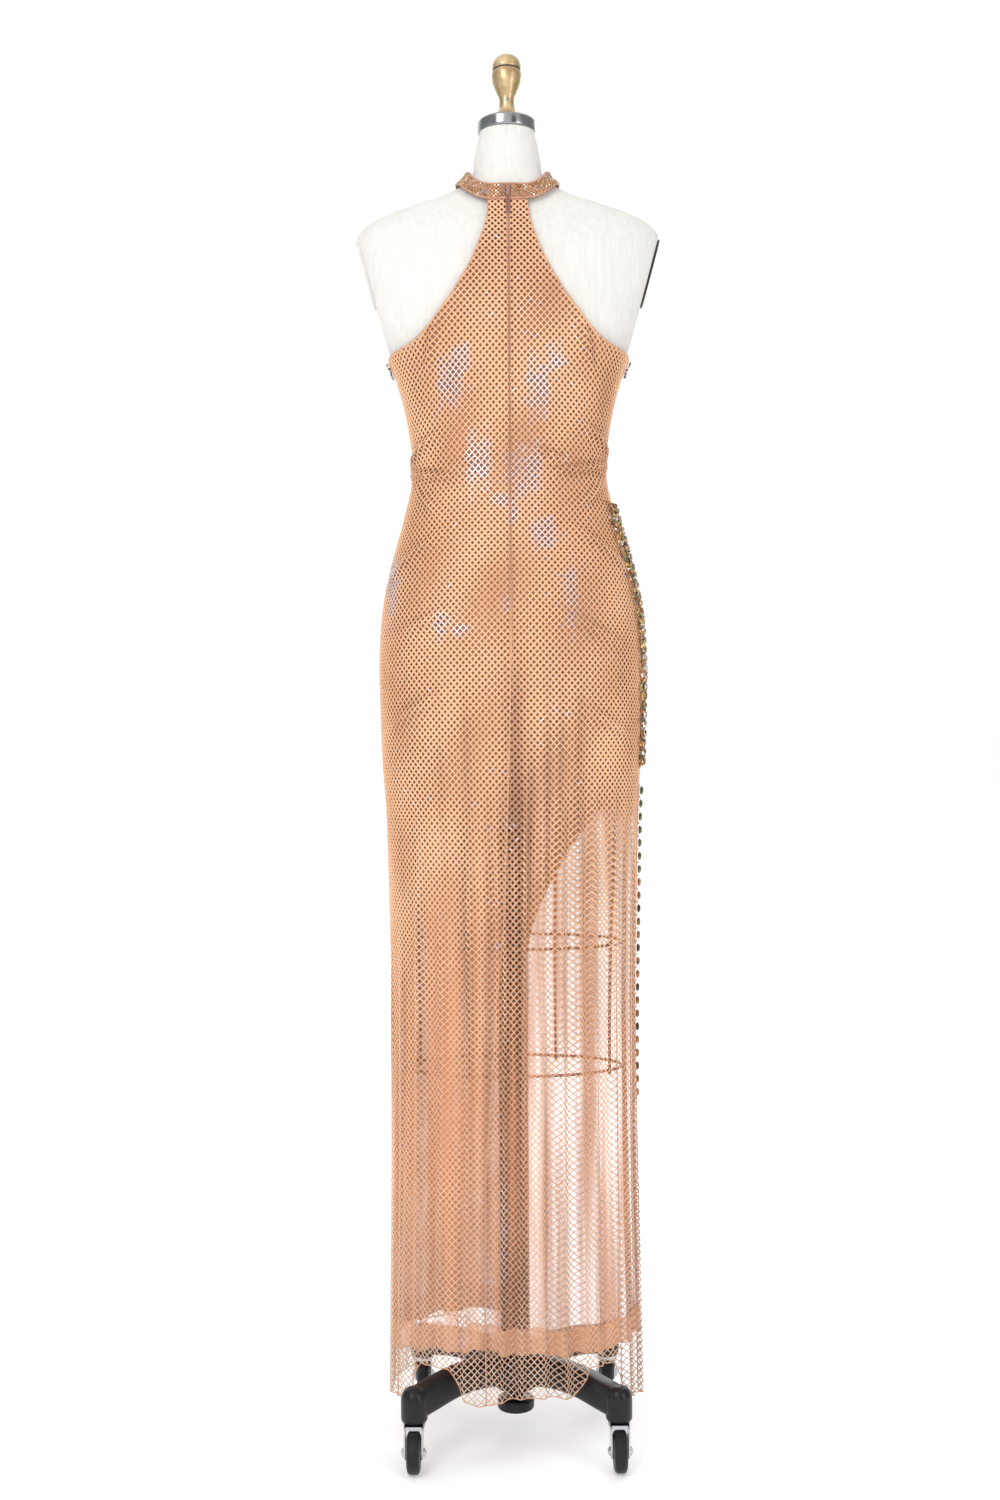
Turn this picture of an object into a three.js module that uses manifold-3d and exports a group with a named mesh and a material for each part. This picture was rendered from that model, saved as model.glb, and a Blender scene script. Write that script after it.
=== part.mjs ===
// A halter maxi dress of fishnet over a sheer lining, on a limbless dress form with a wheeled stand.
// Millimetres, +Z up, the back of the dress faces -Y. The origin is on the floor under the post.
import * as THREE from 'three';
import { mergeVertices } from 'three/addons/utils/BufferGeometryUtils.js';
import Module from 'manifold-3d';

const wasm = await Module();
wasm.setup();

// ---------------------------------------------------------------- driving dimensions
const GAP = 0.3; // between pieces that touch
const COLLAR = { outer: 2.4, inner: 0.6 };
const FORM_OFFSET = -7.8; // the form's surface under the cloth
const SEAM_ANGLE = 0.0016; // half the gap at a side seam, in radians round the section

const FORM_BOTTOM = 808;
const NECK_TOP = 1684.7;
const UNDERARM = 1387; // height of the bottom of the armholes
const SLIT_TOP = 846; // the side slit's top, at the wearer's right
const LINING_HEM = 128;
const ZIP_BOTTOM = 1000;

// The dress's outer surface, from the hem to the top of the neck: half width, depth to the front and
// to the back of the post's axis, and how square the section is.
const SECTIONS = [
  // z, half, front, back, square
  [0, 160, 112, 110, 2.2],
  [58, 159, 110, 109, 2.2],
  [150, 158, 108, 107, 2.2],
  [350, 156, 106, 105, 2.2],
  [550, 157, 107, 107, 2.2],
  [650, 159, 107, 109, 2.2],
  [740, 161, 106, 112, 2.25],
  [808, 163, 106, 115, 2.3],
  [870, 167, 107, 119, 2.3],
  [930, 169, 108, 123, 2.3],
  [1000, 170, 108, 124, 2.3],
  [1060, 166, 107, 117, 2.25],
  [1120, 154.5, 103, 104, 2.2],
  [1180, 138, 96, 91, 2.15],
  [1240, 125.5, 90, 82, 2.1],
  [1300, 131, 95, 84, 2.15],
  [1350, 142.5, 104, 91, 2.2],
  [1387, 156, 108, 97, 2.3],
  [1425, 181, 108, 101, 2.3],
  [1468, 199, 101, 102, 2.3],
  [1510, 208, 88, 96, 2.3],
  [1540, 206, 76, 85, 2.3],
  [1554, 198, 69, 77, 2.3],
  [1565, 184, 64, 70, 2.3],
  [1575, 163, 60, 65, 2.25],
  [1585, 134, 57, 61, 2.2],
  [1595, 102, 55, 58, 2.1],
  [1611, 69, 53, 55, 2.05],
  [1627, 54, 53, 50, 2],
  [1650, 50.5, 54, 45, 2],
  [1685, 43, 49, 37, 2],
];
const SECTION_COLUMN = { half: 1, front: 2, back: 3, square: 4 };

// The form's flat arm plates lie in a plane that leans out towards the shoulder.
const ARM_PLANE = { z: 1540, x: 193, lean: 0.27 };
const ARM_PLATE = { z: 1500, halfHeight: 45, halfWidth: 33, thick: 3 };

const BUST = { x: 76, z: 1372, spread: 46, height: 17 };

// Half widths of the panels above the underarm, out from the centre.
const BACK_EDGE = [
  // z, x
  [1387, 157],
  [1390, 138],
  [1397, 120.6],
  [1407, 107],
  [1417, 96.4],
  [1440, 78.1],
  [1464, 62],
  [1488, 47.7],
  [1514, 36.8],
  [1533, 30.5],
  [1545, 27.5],
  [1557, 25.5],
  [1590, 24],
];
const FRONT_EDGE = [
  // z, x
  [1387, 157],
  [1390, 141],
  [1397, 126],
  [1407, 114],
  [1417, 104],
  [1440, 86],
  [1464, 70],
  [1488, 56],
  [1514, 45],
  [1533, 39],
  [1545, 36],
  [1557, 34],
  [1590, 32],
];
// The centre back seam hangs off to the wearer's left towards the hem.
const CENTRE_BACK = [
  // z, x
  [0, -38],
  [330, -36],
  [420, -32],
  [560, -22],
  [690, -10],
  [900, -3],
  [1050, 0],
  [1700, 0],
];
// The front panel's free edge sweeps from the side seam to the centre.
const SLIT_EDGE = [
  // z, x
  [0, -6],
  [131, -4],
  [405, 1],
  [542, 9],
  [651, 30],
  [730, 68],
  [790, 108],
  [SLIT_TOP, 158],
];

// Standing folds of the skirt: the angle round the section at the form's bottom and at the hem, the
// half width of the fold as an angle, its height at the hem, and where it dies out upwards.
const FOLDS = [
  // top angle, hem angle, half width, height, top z
  [198, 196, 7, 5, 700],
  [216, 212, 8, 8, 620],
  [231, 229, 7, 7, 560],
  [246, 241, 7, 9, 640],
  [260, 254, 6, 6, 700],
  [277, 277, 5, 8, 900],
  [287, 290, 5, 7, 900],
  [297, 303, 6, 10, 840],
  [309, 315, 6, 8, 900],
  [322, 328, 6, 8, 860],
  [337, 342, 7, 6, 800],
  [40, 38, 8, 5, 500],
  [78, 86, 6, 8, 760],
  [96, 100, 6, 9, 760],
  [112, 116, 7, 8, 700],
  [130, 132, 7, 7, 720],
  [148, 148, 8, 7, 640],
  [165, 164, 7, 5, 600],
];

// The hem: its height round the section, lowest at the centre back seam and raised over the legs.
const HEM = { side: 59, back: 85, front: 66, corner: 72, overLeg: 117 };
const HEM_DROP = { depth: 12, width: 0.14 };
const HEM_ARCHES = [
  // how far an arch reaches round the section, and how far it stands off the leg's middle
  [0.3, 0],
  [0.3, 0],
  [0.3, 0],
  [0.26, 0.03],
];

// The collar's seam is an oval round the neck, seen from above. The collar rises from it.
const NECK_OVAL = { half: 65, front: 68, back: 64, square: 3.3 };
const COLLAR_RISE = { side: 16, front: 23, back: 21 };

// The walls, measured out from the dress's outer surface, and their columns. Their rows are level.
const NET = { outer: 0, inner: -1.2, folded: true, backColumns: 17, frontColumns: 24 };
const LINING = { outer: -3.6, inner: -4.6, folded: false, backColumns: 12, frontColumns: 20 };
const SKIRT_ROWS = [170, 380, 600, 740, 812];
const BODICE_ROWS = [870, 930, 1000, 1060, 1120, 1180, 1240, 1300, 1345];
const HALTER_STEPS = 6; // rows from the last level row to the armholes and the collar seam
const COLLAR_COLUMNS = 40;
const FORM_COLUMNS = 30;
const SHOULDER_ROWS = [1387, 1425, 1468, 1510, 1540, 1554, 1565, 1575, 1585, 1595, 1611, 1627, 1650];

const CAP = { radius: 38, bottom: 1685, top: 1701, y: 6 };
const FINIAL = [
  // radius, height over the cap
  [0, 0],
  [17, 0],
  [19, 3],
  [16.5, 8],
  [11, 13],
  [9.5, 20],
  [9.5, 31],
  [13, 38],
  [18, 50],
  [19.5, 61],
  [17.6, 66],
  [17.6, 68],
  [18.8, 70],
  [17, 79],
  [11, 85],
  [0, 87],
];

const CAGE = {
  wire: 2,
  rods: [-115, -25, 65, 155],
  top: { z: 807.7, half: 146, depth: 96 },
  upper: { z: 634, half: 142, depth: 98 },
  lower: { z: 473, half: 140, depth: 78 },
};

const POST = { rod: 14, sleeve: 19, collar: 24, rodBottom: 300, sleeveTop: 780, collarTop: 798 };
const BASE = { hub: 27, bottom: 57, top: 106, legWidth: 30, legReach: 169, cap: 16.5, capTop: 99 };
const LEG_PROFILE = [
  // out, z
  [8, 62],
  [34, 66],
  [64, 71],
  [104, 71],
  [140, 65],
  [169, 60],
  [169, 96],
  [150, 100],
  [112, 107],
  [62, 109],
  [27, 106],
  [8, 104],
];
const FOOT = [
  // radius, z
  [0, 28.5],
  [22.5, 28.5],
  [24, 31],
  [24, 40],
  [22, 43],
  [9, 44],
  [12, 56.7],
  [0, 56.7],
];
const CASTER = { x: 126, y: 113, trail: 15, radius: 25, half: 8.5, bore: 4.2, axle: 3.9, plate: 14 };
const FORK_CHEEK = [
  // along the trail, z
  [-9, 56.7],
  [-9, 51.5],
  [6, 32],
  [9, 17],
  [21, 17],
  [25, 30],
  [20, 56.7],
];
const CHEEK = { inner: 9.4, outer: 11.8, nut: 14.4, nutRadius: 6 };

const ZIP = { half: 2.2, tapeHalf: 3.4, lift: 0.35, thick: 1.1, tapeBottom: 1520 };
const SLIDER = { half: 2.6, height: 9, thick: 2.4 };
const PULL = { half: 2.4, length: 13, thick: 1.1 };
const BEADS = { top: 1200, bottom: 862, centre: -11, half: 19.5, across: 3, pitch: 14 };
const BEAD = { height: 5.2, lift: 0.35, base: 1 };
const STONES = { count: 24, top: 838, pitch: 17, inset: 5, half: 3, lift: 0.5, base: 1 };
const STONE = { radius: 5.2, flat: 0.8, tall: 1.25 };
const UNDERARM_TRIM = { half: 3.2, height: 20, pitch: 6.6, depth: 4.5, lift: 0.35 };

// ---------------------------------------------------------------- materials
function paint(colour, roughness, metalness = 0) {
  return new THREE.MeshStandardMaterial({ color: colour, roughness, metalness });
}
const NET_CLOTH = paint(0xe8ab84, 0.45);
const LINING_CLOTH = paint(0xe6b595, 0.7);
const LINEN = paint(0xe9e5dc, 0.9);
const CHROME = paint(0xc4c6c9, 0.18, 1);
const BRASS = paint(0x8d6f3f, 0.35, 0.8);
const BLACK_IRON = paint(0x17181a, 0.5, 0.3);
const STEEL = paint(0x9b9ea3, 0.35, 1);
const RUBBER = paint(0x131313, 0.7);
const ZIP_TAPE = paint(0xb98591, 0.6);
const DARK_METAL = paint(0x241f1e, 0.4, 0.7);
const CRYSTAL = paint(0x8d7350, 0.2, 0.4);

// ---------------------------------------------------------------- curves from the tables
function lookUp(table, z, column = 1) {
  const last = table.length - 1;
  if (z <= table[0][0]) return table[0][column];
  if (z >= table[last][0]) return table[last][column];
  let i = 0;
  while (table[i + 1][0] < z) i += 1;
  const slope = (k) => {
    const a = table[Math.max(k - 1, 0)];
    const b = table[Math.min(k + 1, last)];
    return (b[column] - a[column]) / (b[0] - a[0]);
  };
  const span = table[i + 1][0] - table[i][0];
  const s = (z - table[i][0]) / span;
  const rise = table[i + 1][column] - table[i][column];
  const m0 = slope(i) * span;
  const m1 = slope(i + 1) * span;
  return table[i][column] + s * (m0 + s * (3 * rise - 2 * m0 - m1 + s * (m0 + m1 - 2 * rise)));
}

function sectionAt(z) {
  const section = {};
  for (const [name, column] of Object.entries(SECTION_COLUMN)) section[name] = lookUp(SECTIONS, z, column);
  return section;
}

function smooth(s) {
  const t = Math.min(Math.max(s, 0), 1);
  return t * t * (3 - 2 * t);
}

// Angles run from +X over the front (+Y) in radians.
const BACK_ANGLE = 1.5 * Math.PI;
const degrees = (angle) => (angle * Math.PI) / 180;

function angleAt(z, x, front) {
  const { half, square } = sectionAt(z);
  const cosine = Math.sign(x) * Math.min(Math.abs(x) / half, 1) ** (square / 2);
  return front ? Math.acos(cosine) : 2 * Math.PI - Math.acos(cosine);
}

function angleBetween(a, b) {
  const turn = Math.abs(a - b) % (2 * Math.PI);
  return Math.min(turn, 2 * Math.PI - turn);
}

function foldHeight(z, angle) {
  let height = 0;
  for (const [topAngle, hemAngle, halfWidth, hemHeight, topZ] of FOLDS) {
    if (z >= topZ) continue;
    const down = (topZ - z) / topZ;
    const centre = degrees(topAngle + (hemAngle - topAngle) * Math.min((FORM_BOTTOM - z) / FORM_BOTTOM, 1));
    const away = angleBetween(angle, centre) / degrees(halfWidth);
    if (away < 2) height += hemHeight * smooth(down * 1.4) * Math.exp(-1.6 * away * away);
  }
  return height;
}

function signedPower(value, power) {
  return Math.sign(value) * Math.abs(value) ** power;
}

// A point of the dress's outer surface, moved outwards.
function surfacePoint(z, angle, outward = 0, folded = true) {
  const { half, front, back, square } = sectionAt(z);
  const sine = Math.sin(angle);
  const depth = (sine > 0 ? front : back) + outward;
  let x = (half + outward) * signedPower(Math.cos(angle), 2 / square);
  let y = depth * signedPower(sine, 2 / square);
  if (sine > 0) {
    const up = (z - BUST.z) / BUST.spread;
    for (const side of [-1, 1]) {
      const across = (x - side * BUST.x) / BUST.spread;
      y += BUST.height * Math.exp(-up * up - across * across) * Math.min(sine * 2, 1);
    }
  }
  if (folded) {
    const fold = foldHeight(z, angle) / Math.hypot(x, y);
    x += x * fold;
    y += y * fold;
  }
  return [x, y, z];
}

// ---------------------------------------------------------------- solids from grids of points
function closedBody(points, faces) {
  let volume = 0;
  const at = (i) => points[i];
  for (const [a, b, c] of faces) {
    const [p, q, r] = [at(a), at(b), at(c)];
    volume += p[0] * (q[1] * r[2] - q[2] * r[1]);
    volume += p[1] * (q[2] * r[0] - q[0] * r[2]);
    volume += p[2] * (q[0] * r[1] - q[1] * r[0]);
  }
  const outward = volume > 0 ? faces : faces.map(([a, b, c]) => [a, c, b]);
  const geometry = new THREE.BufferGeometry();
  geometry.setAttribute('position', new THREE.Float32BufferAttribute(points.flat(), 3));
  geometry.setIndex(outward.flat());
  geometry.computeVertexNormals();
  return geometry;
}

// A wall between an outer and an inner grid of the same shape: outer(row, column), inner(row, column).
function wall(rows, columns, outer, inner) {
  const points = [];
  for (const side of [outer, inner]) {
    for (let r = 0; r < rows; r += 1) {
      for (let c = 0; c < columns; c += 1) points.push(side(r, c));
    }
  }
  const sheet = rows * columns;
  const at = (side, r, c) => side * sheet + r * columns + c;
  const faces = [];
  const quad = (a, b, c, d) => faces.push([a, b, c], [a, c, d]);
  for (let r = 0; r + 1 < rows; r += 1) {
    for (let c = 0; c + 1 < columns; c += 1) {
      quad(at(0, r, c), at(0, r, c + 1), at(0, r + 1, c + 1), at(0, r + 1, c));
      quad(at(1, r, c), at(1, r + 1, c), at(1, r + 1, c + 1), at(1, r, c + 1));
    }
  }
  for (let r = 0; r + 1 < rows; r += 1) {
    quad(at(0, r, 0), at(0, r + 1, 0), at(1, r + 1, 0), at(1, r, 0));
    const end = columns - 1;
    quad(at(0, r + 1, end), at(0, r, end), at(1, r, end), at(1, r + 1, end));
  }
  for (let c = 0; c + 1 < columns; c += 1) {
    quad(at(0, 0, c + 1), at(0, 0, c), at(1, 0, c), at(1, 0, c + 1));
    const end = rows - 1;
    quad(at(0, end, c), at(0, end, c + 1), at(1, end, c + 1), at(1, end, c));
  }
  return closedBody(points, faces);
}

// A loft of closed rings with a flat face at each end.
function loft(rings) {
  const sides = rings[0].length;
  const points = rings.flat();
  const faces = [];
  for (let r = 0; r + 1 < rings.length; r += 1) {
    for (let c = 0; c < sides; c += 1) {
      const next = (c + 1) % sides;
      const a = r * sides + c;
      const b = r * sides + next;
      faces.push([a, b, b + sides], [a, b + sides, a + sides]);
    }
  }
  const top = (rings.length - 1) * sides;
  for (let c = 1; c + 1 < sides; c += 1) {
    faces.push([0, c + 1, c], [top, top + c, top + c + 1]);
  }
  return closedBody(points, faces);
}

// A closed hoop of wire.
function hoop({ z, half, depth }, radius, start, turns = 24, sides = 5) {
  const points = [];
  const faces = [];
  for (let i = 0; i < turns; i += 1) {
    const angle = start + (2 * Math.PI * i) / turns;
    for (let k = 0; k < sides; k += 1) {
      const round = (2 * Math.PI * k) / sides;
      const out = radius * Math.cos(round);
      points.push([
        (half + out) * Math.cos(angle),
        (depth + out) * Math.sin(angle),
        z + radius * Math.sin(round),
      ]);
    }
  }
  const at = (i, k) => (i % turns) * sides + (k % sides);
  for (let i = 0; i < turns; i += 1) {
    for (let k = 0; k < sides; k += 1) {
      faces.push([at(i, k), at(i + 1, k), at(i + 1, k + 1)], [at(i, k), at(i + 1, k + 1), at(i, k + 1)]);
    }
  }
  return closedBody(points, faces);
}

function turned(profile, sides) {
  const geometry = new THREE.LatheGeometry(profile.map(([r, z]) => new THREE.Vector2(r, z)), sides);
  geometry.rotateX(Math.PI / 2);
  return geometry;
}

function outline(points) {
  return new THREE.Shape(points.map(([x, y]) => new THREE.Vector2(x, y)));
}

function slab(points, thick) {
  return new THREE.ExtrudeGeometry(outline(points), { depth: thick, bevelEnabled: false });
}

function solid(geometry) {
  const bare = new THREE.BufferGeometry();
  bare.setAttribute('position', geometry.getAttribute('position').clone());
  if (geometry.index) bare.setIndex(geometry.index.clone());
  const merged = mergeVertices(bare, 1e-4);
  const mesh = new wasm.Mesh({
    numProp: 3,
    vertProperties: new Float32Array(merged.getAttribute('position').array),
    triVerts: new Uint32Array(merged.index.array),
  });
  return new wasm.Manifold(mesh);
}

function joined(geometries) {
  const whole = geometries.map(solid).reduce((a, b) => a.add(b));
  const mesh = whole.getMesh();
  const geometry = new THREE.BufferGeometry();
  geometry.setAttribute('position', new THREE.Float32BufferAttribute(mesh.vertProperties, 3));
  geometry.setIndex(Array.from(mesh.triVerts));
  geometry.computeVertexNormals();
  return geometry;
}

const dressOnForm = new THREE.Group();

function addPiece(name, geometry, material, parent = dressOnForm) {
  const mesh = new THREE.Mesh(geometry, material);
  mesh.name = name;
  parent.add(mesh);
  return mesh;
}

// ---------------------------------------------------------------- the dress's curves
function roundHeight({ side, front, back }, angle) {
  const sine = Math.sin(angle);
  const lean = (front - back) / 2;
  const dip = (front + back) / 2 - side;
  return side + lean * sine + dip * sine * sine;
}

const centreBack = (z) => angleAt(z, lookUp(CENTRE_BACK, z), false);

const LEG_ANGLE = Math.atan2(CASTER.y, CASTER.x);
const LEG_ANGLES = [LEG_ANGLE, Math.PI - LEG_ANGLE, Math.PI + LEG_ANGLE, 2 * Math.PI - LEG_ANGLE];

// Where the surface crosses each leg, as an angle round the section.
function legCrossings() {
  return LEG_ANGLES.map((direction) => {
    let best = 0;
    let least = Infinity;
    for (let angle = 0; angle < 2 * Math.PI; angle += 0.002) {
      const [x, y] = surfacePoint(HEM.overLeg, angle, 0, false);
      const away = angleBetween(Math.atan2(y, x), direction);
      if (away < least) {
        least = away;
        best = angle;
      }
    }
    return best;
  });
}
const LEG_CROSSINGS = legCrossings();

function netHem(angle) {
  const fromSeam = angleBetween(angle, centreBack(HEM.corner)) / HEM_DROP.width;
  const plain = roundHeight(HEM, angle) - HEM_DROP.depth * Math.exp(-fromSeam * fromSeam);
  let height = plain;
  HEM_ARCHES.forEach(([reach, shift], i) => {
    const away = angleBetween(angle, LEG_CROSSINGS[i] + shift) / reach;
    height = Math.max(height, plain + (HEM.overLeg - plain) * smooth(1.9 - 1.9 * away));
  });
  return height;
}

function liningHem(angle) {
  return LINING_HEM + 10 * Math.cos(angle - degrees(300)) + 5 * Math.cos(3 * angle);
}

// How far out the dress's section reaches in a direction seen from above.
function sectionReach(z, direction, outward = 0) {
  const { half, front, back, square } = sectionAt(z);
  const sine = Math.sin(direction);
  const depth = (sine > 0 ? front : back) + outward;
  const across = Math.abs(Math.cos(direction) / (half + outward)) ** square;
  return (across + Math.abs(sine / depth) ** square) ** (-1 / square);
}

function reachPoint(z, direction, outward) {
  const reach = sectionReach(z, direction, outward);
  return [reach * Math.cos(direction), reach * Math.sin(direction), z];
}

function halve(low, high, isBelow) {
  let [a, b] = [low, high];
  for (let pass = 0; pass < 40; pass += 1) {
    const middle = (a + b) / 2;
    if (isBelow(middle)) a = middle;
    else b = middle;
  }
  return a;
}

const [NECK_LOW, NECK_HIGH] = [1500, 1640];

// Whether a point lies outside the collar's oval.
function outsideOval([x, y]) {
  const depth = y > 0 ? NECK_OVAL.front : NECK_OVAL.back;
  const { half, square } = NECK_OVAL;
  return Math.abs(x / half) ** square + Math.abs(y / depth) ** square > 1;
}

const collarSeam = (angle) => halve(NECK_LOW, NECK_HIGH, (z) => outsideOval(surfacePoint(z, angle)));
const collarFoot = (turn) => halve(NECK_LOW, NECK_HIGH, (z) => outsideOval(reachPoint(z, turn, 0)));
const COLLAR_FOOT_BACK = collarFoot(BACK_ANGLE);
const ZIP_TOP = COLLAR_FOOT_BACK + COLLAR_RISE.back - 2;

// ---------------------------------------------------------------- panels
const seamGap = (z) => (GAP / 2 + 0.05) / sectionAt(z).half;

// The angle from the side seam at which a panel's armhole edge lies at a height.
function edgeAngle(edge, z, front) {
  const angle = angleAt(z, lookUp(edge, z), front);
  return front ? angle : 2 * Math.PI - angle;
}

// The top of half a panel, from the side seam round the armhole to the collar's seam and along it to
// the centre. It gives the height and the angle from the side seam at any share of its length.
function topCurve(edge, front) {
  const fromSide = (z, away) => ({ z, away, point: surfacePoint(z, front ? away : -away) });
  const onCollar = (away) => fromSide(collarSeam(front ? away : -away), away);
  const corner = halve(UNDERARM, NECK_HIGH, (z) => {
    const away = edgeAngle(edge, z, front);
    return outsideOval(surfacePoint(z, front ? away : -away));
  });
  const samples = 60;
  const cornerAngle = edgeAngle(edge, corner, front);
  const points = [];
  for (let i = 0; i < samples; i += 1) {
    const z = UNDERARM + (corner - UNDERARM) * (i / samples) ** 2;
    points.push(fromSide(z, i === 0 ? SEAM_ANGLE : edgeAngle(edge, z, front)));
  }
  const neckSamples = 12;
  for (let i = 0; i <= neckSamples; i += 1) {
    points.push(onCollar(cornerAngle + ((Math.PI / 2 - cornerAngle) * i) / neckSamples));
  }
  const lengths = [0];
  for (let i = 1; i < points.length; i += 1) {
    const [a, b] = [points[i - 1].point, points[i].point];
    lengths.push(lengths[i - 1] + Math.hypot(b[0] - a[0], b[1] - a[1], b[2] - a[2]));
  }
  return (share) => {
    const wanted = share * lengths[lengths.length - 1];
    let i = 0;
    while (i + 2 < points.length && lengths[i + 1] < wanted) i += 1;
    const s = (wanted - lengths[i]) / (lengths[i + 1] - lengths[i]);
    const [a, b] = [points[i], points[i + 1]];
    return { z: a.z + (b.z - a.z) * s, away: a.away + (b.away - a.away) * s };
  };
}

const BACK_TOP = topCurve(BACK_EDGE, false);
const FRONT_TOP = topCurve(FRONT_EDGE, true);
const SLIT_LOW_ANGLE = angleAt(HEM.front, lookUp(SLIT_EDGE, HEM.front), true);

// The side slit takes the front's hem up to the side seam.
function frontBottom(hem) {
  return (angle) => {
    if (angle >= SLIT_LOW_ANGLE) return hem(angle);
    const onSlit = (z) => angleAt(z, lookUp(SLIT_EDGE, z), true) > angle;
    return Math.max(halve(0, SLIT_TOP, onSlit), hem(angle));
  };
}

// A panel's columns run up between the angles from(z) and to(z), spread by spacing, from its bottom
// to its top. Its rows are level, but for those above the slit and between the armholes, where the
// columns close in evenly towards the collar and only the side seam keeps its angle.
function panelGrid({ columns, from, to, bottom, top, spacing }) {
  const [firstLevel, lastLevel] = [BODICE_ROWS[0], BODICE_ROWS[BODICE_ROWS.length - 1]];
  const rows = 1 + SKIRT_ROWS.length + BODICE_ROWS.length + HALTER_STEPS;
  const angleIn = (z, c) => from(z) + (to(z) - from(z)) * spacing(c / (columns - 1));
  const place = (r, c) => {
    if (r <= SKIRT_ROWS.length) {
      const low = bottom(angleIn(HEM.corner, c));
      let z = r === 0 ? low : SKIRT_ROWS[r - 1];
      if (low > SKIRT_ROWS[0]) z = low + ((firstLevel - low) * r) / (SKIRT_ROWS.length + 1);
      return [z, angleIn(z, c)];
    }
    const level = r - SKIRT_ROWS.length - 1;
    if (level < BODICE_ROWS.length) return [BODICE_ROWS[level], angleIn(BODICE_ROWS[level], c)];
    const up = (level - BODICE_ROWS.length + 1) / HALTER_STEPS;
    const angle = angleIn(lastLevel, c);
    const end = top(c / (columns - 1));
    const z = lastLevel + (end.z - lastLevel) * up;
    if (Math.abs(Math.cos(angle)) > 0.9999) return [z, angle];
    const across = (height, turn) => surfacePoint(height, turn, 0, false)[0];
    const x = across(lastLevel, angle) * (1 - up) + across(end.z, end.angle) * up;
    return [z, angleAt(z, x, angle < Math.PI)];
  };
  return { rows, columns, place };
}

function panel({ rows, columns, place }, layer) {
  const surface = (outward) => (r, c) => surfacePoint(...place(r, c), outward, layer.folded);
  return wall(rows, columns, surface(layer.outer), surface(layer.inner));
}

const evenly = (share) => share;

// The front's columns stand closest at the slit's steep edge.
function frontSpacing(share) {
  const slit = SLIT_LOW_ANGLE / Math.PI;
  if (share < 0.5) return slit * (1 - (1 - 2 * share) ** 1.4);
  return slit + (1 - slit) * (2 * share - 1);
}

function makePanels(prefix, hem, layer, cloth) {
  const { backColumns, frontColumns } = layer;
  const shapes = {
    back_left: {
      columns: backColumns,
      from: () => Math.PI + SEAM_ANGLE,
      to: (z) => centreBack(z) - seamGap(z),
      bottom: hem,
      top: (share) => {
        const { z, away } = BACK_TOP(share);
        return { z, angle: Math.PI + away - seamGap(z) * share };
      },
      spacing: evenly,
    },
    back_right: {
      columns: backColumns,
      from: (z) => centreBack(z) + seamGap(z),
      to: () => 2 * Math.PI - SEAM_ANGLE,
      bottom: hem,
      top: (share) => {
        const { z, away } = BACK_TOP(1 - share);
        return { z, angle: 2 * Math.PI - away + seamGap(z) * (1 - share) };
      },
      spacing: evenly,
    },
    front: {
      columns: frontColumns,
      from: () => SEAM_ANGLE,
      to: () => Math.PI - SEAM_ANGLE,
      bottom: frontBottom(hem),
      top: (share) => {
        const { z, away } = FRONT_TOP(share < 0.5 ? 2 * share : 2 - 2 * share);
        return { z, angle: share < 0.5 ? away : Math.PI - away };
      },
      spacing: frontSpacing,
    },
  };
  for (const [name, shape] of Object.entries(shapes)) {
    addPiece(`${prefix}_${name}`, panel(panelGrid(shape), layer), cloth);
  }
}

function makeCollar() {
  const parting = 0.7 / NECK_OVAL.back;
  const start = BACK_ANGLE + parting;
  const turn = 2 * (Math.PI - parting);
  const steps = [0, 0.5, 1];
  const grid = (outward) => (r, c) => {
    const direction = start + (turn * c) / (COLLAR_COLUMNS - 1);
    const z = collarFoot(direction) + roundHeight(COLLAR_RISE, direction) * steps[r];
    return reachPoint(z, direction, outward);
  };
  const geometry = wall(steps.length, COLLAR_COLUMNS, grid(COLLAR.outer), grid(COLLAR.inner));
  addPiece('collar', geometry, NET_CLOTH);
}

// ---------------------------------------------------------------- closures and trims
// A narrow band on the surface: centre(z) gives its angle, out(z) its distance over the surface.
function band(heights, centre, half, out, thick) {
  const across = (z, side) => centre(z) + (side * half(z)) / sectionAt(z).half;
  const grid = (lift) => (r, c) => {
    const z = heights[r];
    return surfacePoint(z, across(z, c === 0 ? -1 : 1), out(z) + lift);
  };
  return wall(heights.length, 2, grid(thick), grid(0));
}

// The net's rows along a column that ends at this height.
function rowHeights(top) {
  const last = BODICE_ROWS[BODICE_ROWS.length - 1];
  const step = (top - last) / HALTER_STEPS;
  const halter = Array.from({ length: HALTER_STEPS }, (_, i) => last + step * (i + 1));
  return [HEM.side, ...SKIRT_ROWS, ...BODICE_ROWS, ...halter];
}

const SIDE_HEIGHTS = rowHeights(UNDERARM);

// A point at any height on the flat strip between two of the net's rows at a side seam.
function betweenRows(z, pointAt) {
  let i = 0;
  while (i + 2 < SIDE_HEIGHTS.length && SIDE_HEIGHTS[i + 1] < z) i += 1;
  const [low, high] = [SIDE_HEIGHTS[i], SIDE_HEIGHTS[i + 1]];
  const [a, b] = [pointAt(low), pointAt(high)];
  const share = (z - low) / (high - low);
  return [a[0] + (b[0] - a[0]) * share, a[1] + (b[1] - a[1]) * share, z];
}

const zipLift = (z) => (z > COLLAR_FOOT_BACK - 4 ? COLLAR.outer + ZIP.lift : ZIP.lift);

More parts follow.
